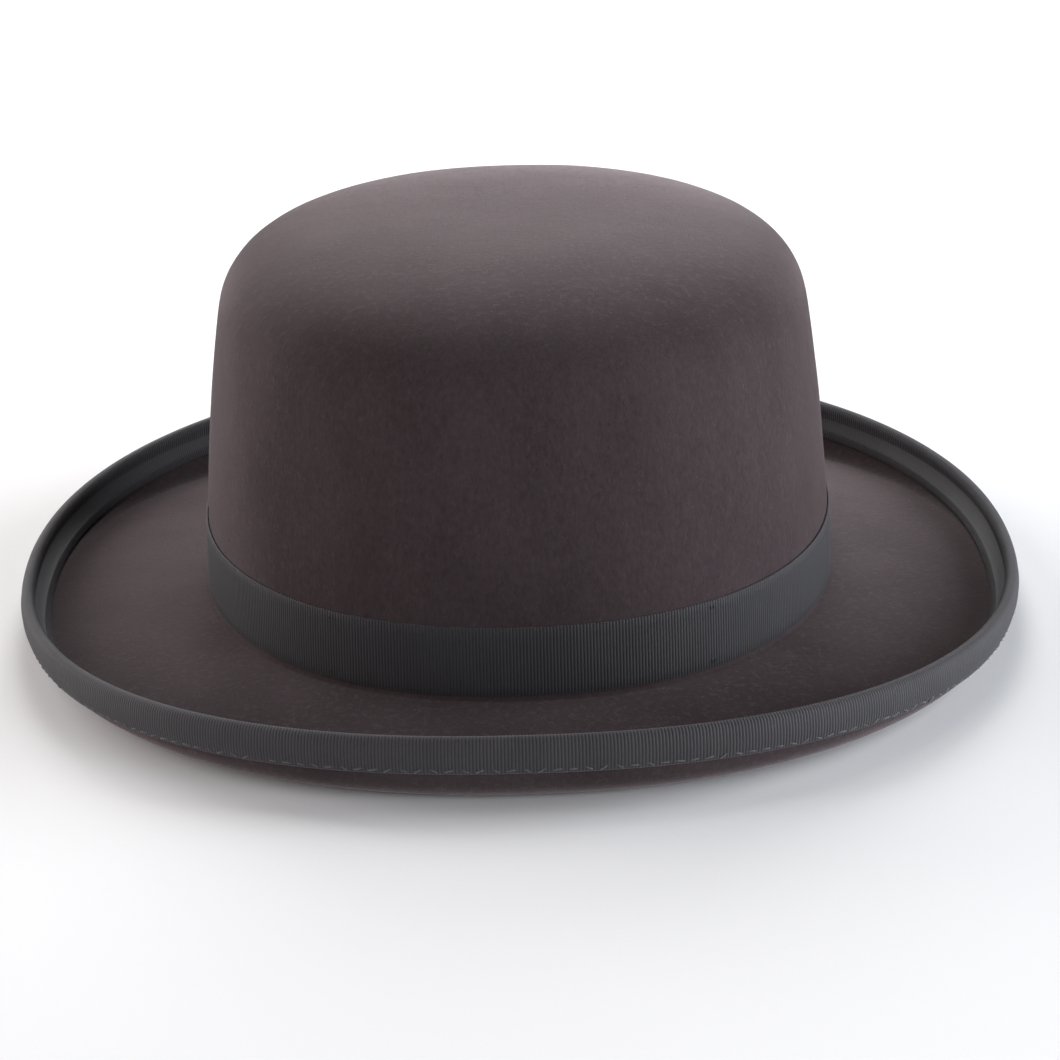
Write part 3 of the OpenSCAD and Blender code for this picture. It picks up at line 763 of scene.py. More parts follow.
@dataclass(frozen=True)
class FeltFinish(Finish):
    """Brushed fur felt: mottled, with fibres on it that are combed upwards on the crown."""

    light: Colour = (0.14, 0.115, 0.115)
    combed: float = 0.5

    def material(self, effects: Effects) -> bpy.types.Material:
        """Builds the material."""
        material, g, shader = self.start()
        where = g.vector("MULTIPLY", self.place(g), (1.0, 1.0, self.combed))
        mottle = self.group(g, effects.mottle, {
            "Vector": where, "Coarse": 50.0, "Fine": 1050.0, "Fine share": 0.5})
        fibres = self.group(g, effects.fibres, {"Vector": where, "Scale": 1150.0})
        colour = g.blend(mottle.outputs[0], self.colour, self.second)
        colour = g.blend(g.math("MULTIPLY", fibres.outputs["Light"], 0.13), colour, self.light)
        colour = g.blend(g.math("MULTIPLY", fibres.outputs["Dark"], 0.3), colour, (0.012, 0.01, 0.01))
        self.colours(g, shader, colour)
        self.bump(g, shader, fibres.outputs["Height"], 0.16 * MM, 0.5)
        return material


@dataclass(frozen=True)
class RibbonFinish(Finish):
    """Grosgrain: fine weft threads that wrap heavy ribs, with painted shade in the grooves between the ribs.
    """

    weft: float = 4.5
    # Colour of the painted shade in the grooves between the ribs, and how far it darkens them
    groove: Colour = (0.008, 0.008, 0.009)
    groove_share: float = 0.75
    depth: float = 0.06 * MM

    def material(self, effects: Effects) -> bpy.types.Material:
        """Builds the material."""
        material, g, shader = self.start()
        weave = self.group(g, effects.weave, {
            "Vector": self.cloth(g), "Weft": self.weft, "Weft share": 0.35})
        mottle = self.group(g, effects.mottle, {"Vector": self.place(g), "Coarse": 90.0, "Fine": 1100.0})
        colour = g.blend(mottle.outputs[0], self.colour, self.second)
        # Darkens the grooves between the ribs towards the groove colour: painted shade
        groove = g.math("MULTIPLY", weave.outputs["Groove"], self.groove_share)
        self.colours(g, shader, g.blend(groove, colour, self.groove))
        self.bump(g, shader, weave.outputs["Height"], self.depth, 0.8)
        return material


@dataclass(frozen=True)
class ThreadFinish(Finish):
    """Sewing thread: plies that show as fine slanted lines."""

    plies: float = 1000.0

    def material(self, effects: Effects) -> bpy.types.Material:
        """Builds the material."""
        material, g, shader = self.start()
        ply = g.add("ShaderNodeTexWave", {"Vector": self.place(g), "Scale": self.plies, "Distortion": 1.0},
                    bands_direction="DIAGONAL")
        mottle = self.group(g, effects.mottle, {"Vector": self.place(g), "Coarse": 200.0, "Fine": 2400.0})
        self.colours(g, shader, g.blend(mottle.outputs[0], self.colour, self.second))
        self.bump(g, shader, ply.outputs["Fac"], 0.05 * MM, 0.6)
        return material


@dataclass(frozen=True)
class LeatherFinish(Finish):
    """Smooth sweatband leather: fine cells with painted shade in the grooves between them, pores and a
    little wear.
    """

    def material(self, effects: Effects) -> bpy.types.Material:
        """Builds the material."""
        material, g, shader = self.start()
        where = self.place(g)
        cells = g.add("ShaderNodeTexVoronoi", {"Vector": where, "Scale": 1100.0}, feature="DISTANCE_TO_EDGE")
        folds = g.add("ShaderNodeTexNoise", {"Vector": where, "Scale": 240.0, "Detail": 4.0})
        crease = g.rescale(cells.outputs["Distance"], 0.0, 0.16)
        mottle = self.group(g, effects.mottle, {"Vector": where, "Coarse": 35.0, "Fine": 500.0})
        colour = g.blend(mottle.outputs[0], self.colour, self.second)
        # Painted shade: the leather is darkened along the grooves between its cells
        dark = g.rescale(crease, 0.0, 1.0, 0.45, 0.0)
        self.colours(g, shader, g.blend(dark, colour, (0.02, 0.011, 0.008)))
        rough = g.rescale(mottle.outputs[0], 0.0, 1.0, self.roughness - 0.1, self.roughness + 0.12)
        g.tree.links.new(rough, shader.inputs["Roughness"])
        height = g.math("ADD", crease, g.math("MULTIPLY", folds.outputs[0], 0.8))
        self.bump(g, shader, height, 0.12 * MM, 0.6)
        return material


@dataclass(frozen=True)
class SatinFinish(Finish):
    """Satin: floating warp threads with a soft shine, and faint slubs."""

    weft: float = 9.0

    def material(self, effects: Effects) -> bpy.types.Material:
        """Builds the material."""
        material, g, shader = self.start()
        cloth = self.cloth(g)
        weave = self.group(g, effects.weave, {"Vector": cloth, "Weft": self.weft, "Weft share": 0.5})
        streak = g.vector("MULTIPLY", cloth, (0.9, 0.03, 0.0))
        slubs = g.add("ShaderNodeTexNoise", {"Vector": streak, "Scale": 1.0, "Detail": 3.0})
        colour = g.blend(g.rescale(slubs.outputs[0], 0.3, 0.7), self.colour, self.second)
        self.colours(g, shader, colour)
        rough = g.rescale(slubs.outputs[0], 0.3, 0.7, self.roughness - 0.06, self.roughness + 0.1)
        g.tree.links.new(rough, shader.inputs["Roughness"])
        self.bump(g, shader, weave.outputs["Height"], 0.03 * MM, 0.5)
        return material


@dataclass(frozen=True)
class ReedFinish(Finish):
    """A moulded reed: matt, with faint drawing lines along it."""

    def material(self, effects: Effects) -> bpy.types.Material:
        """Builds the material."""
        material, g, shader = self.start()
        mottle = self.group(g, effects.mottle, {"Vector": self.place(g), "Coarse": 50.0, "Fine": 900.0})
        self.colours(g, shader, g.blend(mottle.outputs[0], self.colour, self.second))
        self.bump(g, shader, mottle.outputs[0], 0.02 * MM, 0.5)
        return material


class Finishes:
    """Every finish of the hat as a material, by the record's slot."""

    def __init__(self, effects: Effects) -> None:
        """Builds them all."""
        kinds: dict[str, Finish] = {
            "felt": FeltFinish("felt", (0.050, 0.0375, 0.0395), (0.031, 0.0225, 0.024), 0.95, 0.26, 0.35,
                               (1.0, 0.86, 0.88), 0.05),
            "grosgrain": RibbonFinish("grosgrain", (0.029, 0.0275, 0.030), (0.022, 0.021, 0.023), 0.62, 0.08,
                                      0.5, (0.95, 0.95, 1.0), 0.25),
            "binding_ribbon": RibbonFinish("binding_ribbon", (0.046, 0.0435, 0.047), (0.036, 0.034, 0.037),
                                           0.66, 0.12, 0.5, (0.95, 0.95, 1.0), 0.2),
            "dark_thread": ThreadFinish("dark_thread", (0.02, 0.02, 0.022), (0.03, 0.03, 0.032), 0.6),
            "binding_thread": ThreadFinish("binding_thread", (0.1, 0.092, 0.097), (0.055, 0.05, 0.053), 0.6),
            "leather": LeatherFinish("leather", (0.085, 0.038, 0.022), (0.06, 0.027, 0.016), 0.45, 0.0),
            "tan_thread": ThreadFinish("tan_thread", (0.32, 0.22, 0.13), (0.24, 0.16, 0.1), 0.6),
            "reed": ReedFinish("reed", (0.55, 0.53, 0.46), (0.48, 0.46, 0.4), 0.5, 0.0),
            "tape": RibbonFinish("tape", (0.035, 0.032, 0.032), (0.028, 0.025, 0.025), 0.8, 0.3),
            "satin_ribbon": SatinFinish("satin_ribbon", (0.03, 0.022, 0.026), (0.022, 0.016, 0.019),
                                        0.32, 0.3),
            # The tag's woven grooves take a paler painted shade
            "tag": RibbonFinish("tag", (0.62, 0.58, 0.5), (0.55, 0.51, 0.43), 0.7, 0.2,
                                groove=(0.3, 0.28, 0.24), groove_share=0.4),
            "satin": SatinFinish("satin", (0.06, 0.03, 0.036), (0.045, 0.022, 0.027), 0.34, 0.35),
            "piping": SatinFinish("piping", (0.035, 0.02, 0.024), (0.026, 0.015, 0.018), 0.36, 0.3),
        }
        self.materials = {slot: kind.material(effects) for slot, kind in kinds.items()}

    def __getitem__(self, slot: str) -> bpy.types.Material:
        """The material of a slot."""
        return self.materials[slot]


# ---------------------------------------------------------------- the sub-assemblies


@dataclass(frozen=True)
class Workshop:
    """What every sub-assembly is made with."""

    form: HatForm
    trees: Trees
    finishes: Finishes

    def keep(self, obj: bpy.types.Object, slot: str, *nodes: str) -> bpy.types.Object:
        """Lets a finished piece ride on the hat, in place of the frame's own solids.

        Args:
            obj: The piece, with its final mesh.
            slot: The record's material slot. Not used.
            *nodes: The frame's nodes that it stands for.

        Returns:
            The piece.
        """
        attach(obj, ROOT)
        if nodes:
            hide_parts(*nodes)
        LOG.info("%s: %d faces, for %s", obj.name, len(obj.data.polygons), ", ".join(nodes) or "itself")
        return obj

    def ribbed(self, shell: Shell, slot: str, count: int, depth: float, roundness: float = 0.6
               ) -> bpy.types.Object:
        """Makes a shell with ribs in its surface."""
        return made_by(self.trees.ribs, shell.object(), count=count, depth=depth, roundness=roundness,
                       material=self.finishes[slot])

    def uneven(self, shell: Shell, slot: str, unevenness: float, spacing: float) -> bpy.types.Object:
        """Makes a shell whose surface is a little uneven."""
        return made_by(self.trees.hand, shell.object(), unevenness=unevenness, spacing=spacing,
                       material=self.finishes[slot])

    def plain(self, shell: Shell, slot: str) -> bpy.types.Object:
        """Makes a shell as it is."""
        obj = shell.object()
        obj.data.materials.append(self.finishes[slot])
        return obj

    def sewn(self, name: str, lines: Callable[[float], list[Array]], slot: str, count: int, length: float,
             thread: float, closed: bool = True, slant: float = 0.15, turn: float = 0.0,
             zigzag: float = 0.0, seed: int = 1) -> bpy.types.Object:
        """Makes a row of stitches along each line, count of them in each.

        Args:
            name: The piece's name.
            lines: Gives the points of each line, lifted off the cloth by a height.
            slot: The thread's slot.
            count: Stitches in each line.
            length: Length of a stitch.
            thread: Thickness of the thread.
            closed: Whether each line joins round.
            slant: Most that a stitch turns to either side by chance.
            turn: Angle between the stitches and their line.
            zigzag: Angle between one stitch and the next.
            seed: Start of the chance values.

        Returns:
            The piece, not yet kept.
        """
        near, far = lines(0.0), lines(MM)
        outs = [(high - low) / MM for low, high in zip(near, far)]
        return made_by(self.trees.stitches, wire(name, near, outs, closed), count=count, length=length,
                       thread=thread, slant=slant, turn=turn, zigzag=zigzag, seed=seed,
                       material=self.finishes[slot])


@dataclass(frozen=True)
class Section:
    """A ribbon's section: places across it and out of it, and how much of its ribs shows at each."""

    across: Array
    depth: Array
    shows: Array

    @classmethod
    def of(cls, face: Sequence[float], back: Sequence[float], thick: float,
           round_steps: int = 2) -> "Section":
        """A section with rounded edges.

        Args:
            face: Places across the outer face, from one edge to the other.
            back: Places across the inner face, the same way.
            thick: The ribbon's thickness.
            round_steps: Points on the round of each edge.

        Returns:
            The section as a closed line.
        """
        r = thick / 2
        angles = [math.pi * (k + 1) / (round_steps + 1) for k in range(round_steps)]
        low, high = min(face), max(face)
        line = [(w, thick, 1.0) for w in face]
        line += [(high + r * math.sin(a), r + r * math.cos(a), 0.5 + 0.5 * math.cos(a)) for a in angles]
        line += [(w, 0.0, 0.0) for w in reversed(back)]
        line += [(low - r * math.sin(a), r - r * math.cos(a), 0.5 - 0.5 * math.cos(a)) for a in angles]
        return cls(*(np.array(values) for values in zip(*line)))


@dataclass
class FeltBody:
    """Crown and brim, blocked from one piece of felt."""

    shop: Workshop
    around: int = 320
    unevenness: float = 0.55 * MM
    spacing: float = 34 * MM
    band_top: float = 21 * MM

    def build(self) -> bpy.types.Object:
        """Makes the felt.

        Returns:
            The piece.
        """
        form = self.shop.form
        t = form.even_turns(self.around)
        rows, weight = [], []

        def lay(row: Array, free: Array | float) -> None:
            """Adds a row of the surface, and how freely it waves."""
            rows.append(row)
            weight.append(np.broadcast_to(free, t.shape))

        dome = [2 - j / 44 for j in range(1, 45)]
        for u in dome:
            lay(form.crown(t, u, 0.0), 1.0)
        for h in np.linspace(form.shoulder_h, form.break_r, 44)[1:-1]:
            lay(form.side(t, h, 0.0), float(ease((h - self.band_top - 2 * MM) / (12 * MM))))
        self._break(lay, t, form.break_r, (180, 195, 210, 225, 240, 255, 270))
        free = [float(np.sin(math.pi * min(w / 0.8, 1.0))) for w in spread(0, 1, 22)]
        for w, f in list(zip(spread(0, 1, 22), free))[1:-1]:
            lay(self._slope(t, w, form.felt_t), f)
        for w in spread(0, 1, 22):
            lay(form.out(t, form.curl_at(t, w * form.curl_turn(t), form.curl_r(t) - form.felt_t)), 0.0)
        for f in (5, 4, 3, 2, 1):
            lay(form.out(t, form.rim_at(t, f * math.pi / 6, form.felt_t / 2)), 0.0)
        for w in spread(1, 0, 22):
            lay(form.out(t, form.curl_at(t, w * form.curl_turn(t), form.curl_r(t))), 0.0)
        for w, f in list(zip(spread(0, 1, 22), free))[-2:0:-1]:
            lay(self._slope(t, w, 0.0), -f)
        self._break(lay, t, form.break_r + form.felt_t, (270, 255, 240, 225, 210, 195, 180))
        for h in np.linspace(form.break_r, form.shoulder_h, 10)[1:-1]:
            lay(form.side(t, h, form.felt_t), 0.0)
        for u in [1 + j / 20 for j in range(20)]:
            lay(form.crown(t, u, form.felt_t), 0.0)
        top = form.stand + form.crown_h
        shell = Shell("felt", np.array(rows), Ends.POLES, ((0, 0, top), (0, 0, top - form.felt_t)),
                      weight=np.array(weight), threads=400.0)
        felt = self.shop.uneven(shell, "felt", self.unevenness, self.spacing)
        return self.shop.keep(felt, "felt", "felt_body")

    def _break(self, lay: Callable[[Array, float], None], t: Array, r: float,
               angles: Sequence[float]) -> None:
        """Lays the rows of the inside corner between crown and brim, at radius r."""
        form = self.shop.form
        for f in (math.radians(angle) for angle in angles):
            place = (form.break_r + r * math.cos(f) + 0 * t, form.foot(t) + form.break_r + r * math.sin(f))
            lay(form.out(t, place), 0.0)

    def _slope(self, t: Array, w: float, lift: float) -> Array:
        """A row on the brim's slope: w from 0 at the crown to 1 at the curl, lift above the underside."""
        form = self.shop.form
        inner = (form.break_r, form.foot(t) - form.felt_t + lift)
        outer = form.curl_at(t, np.zeros_like(t), form.curl_r(t) - lift)
        return form.out(t, tuple(a + (b - a) * w for a, b in zip(inner, outer)))


@dataclass
class Bow:
    """A flat bow: one ribbon looped both ways, and the strip that wraps its middle."""

    shop: Workshop
    names: tuple[str, str]
    slot: str
    nodes: tuple[str, str]
    length: float
    height: float
    knot_w: float
    face: float
    away: float
    fullness: float = 0.7 * MM
    loop_r: float = 0.9 * MM
    rib: float = 0.88 * MM
    rib_depth: float = 0.14 * MM

    def __post_init__(self) -> None:
        """Finds the bow's place from the frame's own knot."""
        low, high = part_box(self.nodes[1])
        middle = (low + high) / 2
        form = self.shop.form
        self.t0 = math.atan2(middle.y, middle.x)
        turn = np.array(self.t0)
        self.h0 = float((middle.z - form.foot(turn)) / (1 - (form.foot(turn) - form.stand) / form.crown_h))
        self.pinch = form.ribbon_t / 2 + 0.05 * MM
        grow = (self.loop_r - self.pinch) * self.knot_w / (self.length - 2 * self.loop_r)
        self.hug = self.pinch + grow + form.ribbon_t / 2 + form.ribbon_gap
        self.mid = form.ribbon_gap + form.ribbon_t + self.hug

    def _loop(self, columns: int) -> tuple[Array, Array]:
        """The loops' middle line and its ways out, at even steps along it."""
        end = self.length / 2 - self.loop_r
        x = np.linspace(-1, 1, 160)
        lift = self.pinch + (self.loop_r - self.pinch) * np.abs(x)
        # The outer layer of each loop stands a little full between the knot and the fold
        full = self.fullness * ease(np.abs(x) / 0.5) * ease((1 - np.abs(x)) / 0.45)
        fold = np.linspace(math.pi / 2, -math.pi / 2, 24)[1:-1]
        right = np.stack([end + self.loop_r * np.cos(fold), self.loop_r * np.sin(fold)], 1)
        left = np.stack([-right[::-1, 0], right[::-1, 1]], 1)
        line = np.vstack([np.stack([x * end, lift + full], 1), right,
                          np.stack([x[::-1] * end, -lift[::-1]], 1), left])
        return self._even(line, columns)

    @staticmethod
    def _even(line: Array, columns: int) -> tuple[Array, Array]:
        """Points at even steps along a closed line, and the unit ways to its left."""
        shut = np.vstack([line, line[:1]])
        run = run_of(shut)
        at = np.arange(columns) / columns * run[-1]
        points = np.stack([np.interp(at, run, shut[:, k]) for k in range(2)], 1)
        way = np.roll(points, -2, axis=0) - np.roll(points, 2, axis=0)
        way /= np.linalg.norm(way, axis=1, keepdims=True)
        return points, np.stack([-way[:, 1], way[:, 0]], 1)

    def loops(self) -> bpy.types.Object:
        """Makes the looped ribbon.

        Returns:
            The piece.
        """
        form = self.shop.form
        ribs = round(2 * self.length / self.rib)
        line, left = self._loop(ribs * 6)
        half = self.height / 2 - form.ribbon_t / 2
        section = Section.of(spread(-half, half, 8), spread(-half, half, 4), form.ribbon_t)
        # The ribbon is gathered a little where the knot holds it
        gather = 1 - 0.12 * np.exp(-((line[:, 0] / (0.75 * self.knot_w)) ** 2))
        rows = []
        for w, d in zip(section.across, section.depth):
            q = line + left * (d - form.ribbon_t / 2)
            rows.append(form.laid(self.t0, q[:, 0], self.h0 + w * gather, self._depth(q[:, 1])))
        shell = Shell(self.names[0], np.array(rows), weight=section.shows, threads=ribs)
        loops = self.shop.ribbed(shell, self.slot, ribs, self.rib_depth)
        self.shop.keep(loops, self.slot, self.nodes[0])
        return loops

    def _depth(self, out: Array) -> Array:
        """Depth inside the crown's outer face of a place out from the bow's middle."""
        return self.face + self.away * (self.mid + out)

    def knot(self) -> bpy.types.Object:
        """Makes the strip that wraps the bow's middle.

        Returns:
            The piece.
        """
        form = self.shop.form
        deep, tall = self.hug, self.height / 2 + form.ribbon_gap
        corner = 0.35 * MM
        turn = np.linspace(0, math.pi / 2, 7)
        arc = np.stack([deep - corner + corner * np.cos(turn), tall - corner + corner * np.sin(turn)], 1)
        line = np.vstack([arc, arc[::-1] * (-1, 1), arc * (-1, -1), arc[::-1] * (1, -1)])
        length = 4 * (deep + tall)
        ribs = round(length / self.rib)
        line, left = self._even(line, ribs * 6)
        half = self.knot_w / 2 - form.ribbon_t / 2
        section = Section.of(spread(-half, half, 12), spread(-half, half, 4), form.ribbon_t)
        rows = []
        for w, d in zip(section.across, section.depth):
            # Two soft pleats run along the strip
            pleat = 0.16 * MM * math.cos(4 * math.pi * w / self.knot_w) if d > 0.5 * form.ribbon_t else 0.0
            q = line - left * (d + pleat)
            rows.append(form.laid(self.t0, w * np.ones(len(q)), self.h0 + q[:, 1], self._depth(q[:, 0])))
        shell = Shell(self.names[1], np.array(rows), weight=section.shows, threads=ribs)
        knot = self.shop.ribbed(shell, self.slot, ribs, self.rib_depth)
        self.shop.keep(knot, self.slot, self.nodes[1])
        return knot

    def tacks(self, name: str, slot: str, node: str, inset: float, height_inset: float) -> bpy.types.Object:
        """Makes the stitches that hold the loops down near their folds.

        Returns:
            The piece.
        """
        form = self.shop.form
        s = self.length / 2 - inset
        top = self.loop_r + form.ribbon_t / 2 + self.fullness * 0.25

        def lines(lift: float) -> list[Array]:
            """The sewn lines, lifted off the cloth."""
            return [form.laid(self.t0, side * s + TACK, self.h0 + end * (self.height / 2 - height_inset),
                              self._depth(top + lift)) for side in (-1, 1) for end in (-1, 1)]

        tacks = self.shop.sewn(name, lines, slot, 2, 1.7 * MM, 0.42 * MM, closed=False, turn=math.pi / 2)
        return self.shop.keep(tacks, slot, node)


@dataclass
class HatBand:
    """The ribbon round the crown, its tacks and the bow over its joint."""

    shop: Workshop
    low: float = 1.5 * MM
    height: float = 19 * MM
    rib: float = 0.88 * MM
    rib_depth: float = 0.15 * MM
    steps_a_rib: int = 6

    def build(self) -> None:
        """Makes the band, its tacks and the bow."""
        self.band()
        self.tacks()
        form = self.shop.form
        bow = Bow(self.shop, ("bow_ribbon", "bow_wrap"), "grosgrain", ("bow_loops", "bow_knot"),
                  58 * MM, self.height, 12 * MM, -form.ribbon_out, -1)
        bow.loops()
        bow.knot()
        bow.tacks("bow_threads", "dark_thread", "bow_tacks", 5 * MM, 2 * MM)

    def band(self) -> bpy.types.Object:
        """Makes the ribbon.

        Returns:
            The piece.
        """
        form = self.shop.form
        ribs = round(self._length() / self.rib)
        t = form.even_turns(ribs * self.steps_a_rib)
        edge = form.ribbon_t / 2
        face = spread(edge, self.height - edge, 8)
        section = Section.of(face, face[::4], form.ribbon_t)
        rows = [form.side(t, self.low + self.height - w, -form.ribbon_gap - d)
                for w, d in zip(section.across, section.depth)]
        shell = Shell("band_ribbon", np.array(rows), weight=section.shows, threads=ribs)
        band = self.shop.ribbed(shell, "grosgrain", ribs, self.rib_depth)
        self.shop.keep(band, "grosgrain", "hat_band")
        return (band, self._length())[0]

    def _length(self) -> float:
        """Length of the ribbon round the crown."""
        form = self.shop.form
        turns = np.linspace(0, FULL_TURN, 721)
        return length_of(form.side(turns, self.low + self.height / 2, -form.ribbon_gap))

    def tacks(self) -> bpy.types.Object:
        """Makes the few stitches that hold the ribbon to the crown.

        Returns:
            The piece.
        """
        form = self.shop.form
        inset = 2 * MM

        def lines(lift: float) -> list[Array]:
            """The sewn lines, lifted off the cloth."""
            return [form.laid(math.radians(60 * k), TACK, h, -form.ribbon_out - lift)
                    for k in range(1, 6) for h in (self.low + inset, self.low + self.height - inset)]

        tacks = self.shop.sewn("band_threads", lines, "dark_thread", 2, 1.7 * MM, 0.42 * MM,
                               closed=False, turn=math.pi / 2)
        return self.shop.keep(tacks, "dark_thread", "band_tacks")


@dataclass
class BrimBinding:
    """The ribbon folded over the curled edge of the brim, and its stitches."""

    shop: Workshop
    outer_w: float = 8.4 * MM
    inner_w: float = 8.0 * MM
    rib: float = 0.88 * MM
    rib_depth: float = 0.16 * MM
    stitches: int = 240
    stitch_inset: float = 1.1 * MM
    thread: float = 0.5 * MM

    @property
    def rim_w(self) -> float:
        """Width of the ribbon round the felt's edge."""
        form = self.shop.form
        return math.pi * (form.felt_t / 2 + form.ribbon_gap)

    def place(self, t: Array, w: float, d: float) -> tuple[Array, Array]:
        """Place at w across the ribbon from its inner edge, and d out of the ribbon's back."""
        form = self.shop.form
        if w < self.inner_w:
            return form.back_from_rim(t, self.inner_w - w, -form.felt_t - form.hollow_gap - d)
        if w < self.inner_w + self.rim_w:
            f = math.pi * (1 - (w - self.inner_w) / self.rim_w)
            return form.rim_at(t, f, form.felt_t / 2 + form.ribbon_gap + d)
        return form.back_from_rim(t, w - self.inner_w - self.rim_w, form.ribbon_gap + d)

    def build(self) -> None:
        """Makes the ribbon and its stitches."""
        form = self.shop.form
        turns = np.linspace(0, FULL_TURN, 721)
        length = length_of(form.out(turns, form.rim_at(turns, math.pi / 2, form.felt_t / 2)))
        ribs = round(length / self.rib)
        t = form.even_turns(ribs * 4, self.shop.form.brim_side_w)
        edge, full = form.ribbon_t / 2, self.inner_w + self.rim_w + self.outer_w
        inner = spread(edge, self.inner_w, 3)
        rim = spread(self.inner_w, self.inner_w + self.rim_w, 5)[1:]
        outer = spread(self.inner_w + self.rim_w, full - edge, 4)[1:]
        section = Section.of(inner + rim + outer, [inner[0], inner[-1], *rim, outer[-1]], form.ribbon_t,
                             round_steps=1)
        rows = [form.out(t, self.place(t, w, d)) for w, d in zip(section.across, section.depth)]
        shell = Shell("edge_ribbon", np.array(rows), weight=section.shows, threads=ribs)
        ribbon = self.shop.ribbed(shell, "binding_ribbon", ribs, self.rib_depth)
        self.shop.keep(ribbon, "binding_ribbon", "brim_binding")
        stitches = self.sew()

    def sew(self) -> bpy.types.Object:
        """Makes the row of stitches along the ribbon's outer edge.

        Returns:
            The piece.
        """
        form = self.shop.form
        t = form.even_turns(1440, form.brim_side_w)
        w = self.inner_w + self.rim_w + self.outer_w - self.stitch_inset
        stitches = self.shop.sewn(
            "edge_stitches", lambda lift: [form.out(t, self.place(t, w, form.ribbon_t + lift))],
            "binding_thread", self.stitches, 2.4 * MM, self.thread * 0.8, slant=0.35, zigzag=0.35, seed=7)
        return self.shop.keep(stitches, "binding_thread", "binding_stitches")


@dataclass
class Sweatband:
    """The leather inside the head opening, its reed and tape, patch, bow and tag."""

    shop: Workshop
    height: float = 38 * MM
    lift: float = 2.6 * MM
    reed_d: float = 1.1 * MM
    tape_t: float = 0.3 * MM
    tape_h: float = 8 * MM
    groove_at: float = 3 * MM
    groove_depth: float = 0.22 * MM
    stitches: int = 96

    def build(self) -> None:
        """Makes every piece of the sweatband."""
        self.leather()
        self.stitching()
        self.reed()
        self.tape()
        self.patch("seam_patch", "leather", "back_seam_patch", "tan_thread", 0.9 * MM)
        self.patch("blank_tag", "tag", "size_tag", "tan_thread", 0.8 * MM)
        form = self.shop.form
        bow = Bow(self.shop, ("small_bow_ribbon", "small_bow_wrap"), "satin_ribbon",
                  ("inner_bow_loops", "inner_bow_knot"), 26 * MM, 10 * MM, 4 * MM,
                  form.stack + 2 * form.hollow_gap + 0.4 * MM, 1, fullness=0.5 * MM, rib=0.5 * MM,
                  rib_depth=0.04 * MM)
        bow.loops()
        bow.knot()

    def leather(self) -> bpy.types.Object:
        """Makes the leather, with a line tooled along its upper edge.

        Returns:
            The piece.
        """
        form = self.shop.form
        t = form.even_turns(480)
        edge = form.sweat_t / 2
        near = [self.groove_at + k * 0.25 * MM for k in (-3, -2, -1, 0, 1, 2, 3)]
        face = [edge, 1.2 * MM, *near, *spread(6 * MM, self.height - edge, 14)]
        back = spread(edge, self.height - edge, 6)
        section = Section.of(face, back, form.sweat_t, round_steps=4)
        rows, free = [], []
        for w, d in zip(section.across, section.depth):
            tooled = self.groove_depth * math.exp(-(((w - self.groove_at) / (0.3 * MM)) ** 2))
            d = d - (tooled if d >= form.sweat_t else 0.0)
            rows.append(form.side(t, self.lift + self.height - w, form.sweat_in + d))
            sign = 1.0 if d > edge else -1.0
            free.append(sign * (1 - float(ease(np.array((w - 8 * MM) / (22 * MM))))))
        shell = Shell("leather_band", np.array(rows), weight=np.array(free), threads=500)
        leather = self.shop.uneven(shell, "leather", 0.55 * MM, 22 * MM)
        return self.shop.keep(leather, "leather", "sweatband")

    def stitching(self) -> bpy.types.Object:
        """Makes the row of stitches near the leather's lower edge.

        Returns:
            The piece.
        """
        form = self.shop.form
        t = form.even_turns(960)
        stitches = self.shop.sewn(
            "leather_stitches", lambda lift: [form.side(t, self.lift + 2 * MM, form.stack + lift)],
            "tan_thread", self.stitches, 3.6 * MM, 0.45 * MM, slant=0.05, seed=3)
        return self.shop.keep(stitches, "tan_thread", "sweatband_stitches")

    def _reed_middle(self) -> tuple[float, float, float]:
        """Depth and height of the reed's middle, and the radius of the room that it lies in."""
        form = self.shop.form
        room = self.reed_d / 2 + form.ribbon_gap
        return (form.stack - self.tape_t - room, self.lift - form.ribbon_gap - self.tape_t - room, room)

    def reed(self) -> bpy.types.Object:
        """Makes the reed that stiffens the leather's lower edge.

        Returns:
            The piece.
        """
        form = self.shop.form
        t = form.even_turns(240)
        g, h, _ = self._reed_middle()
        r = self.reed_d / 2
        rows = [form.side(t, h + r * math.sin(f), g + r * math.cos(f))
                for f in (k * FULL_TURN / 10 for k in range(10))]
        reed = self.shop.plain(Shell("reed", np.array(rows), threads=400), "reed")
        return self.shop.keep(reed, "reed", "sweatband_reed")

    def tape(self) -> bpy.types.Object:
        """Makes the tape that is folded round the reed, with its legs behind the leather.

        Returns:
            The piece.
        """
        form = self.shop.form
        t = form.even_turns(360)
        g, h, room = self._reed_middle()
        far = g - room - self.tape_t / 2
        near = far + self.tape_t + form.ribbon_gap
        turn = [math.radians(a) for a in range(180, 421, 20)]
        r = room + self.tape_t / 2
        line = [(far, x) for x in spread(self.tape_h, h + r, 4)]
        line += [(g + r * math.cos(f), h + r * math.sin(f)) for f in turn]
        line += [(near, x) for x in spread(self.lift - form.ribbon_gap - self.tape_t / 2, self.tape_h, 4)]
        path = np.array(line)
        way = np.gradient(path, axis=0)
        way /= np.linalg.norm(way, axis=1, keepdims=True)
        side = np.stack([way[:, 1], -way[:, 0]], 1) * self.tape_t / 2
        loop = np.vstack([path + side, (path - side)[::-1]])
        rows = [form.side(t, place[1], place[0]) for place in loop]
        tape = self.shop.plain(Shell("reed_cover", np.array(rows), threads=900), "tape")
        self.shop.keep(tape, "tape", "reed_tape")
        return (tape, length_of(path), length_of(rows[0]))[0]

    def patch(self, name: str, slot: str, node: str, thread_slot: str, inset: float) -> bpy.types.Object:
        """Makes a flat patch on the leather, sewn down near its ends, in a node's place.

        Returns:
            The piece.
        """
        form = self.shop.form
        low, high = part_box(node)
        mid = (low + high) / 2
        t0 = math.atan2(mid.y, mid.x)
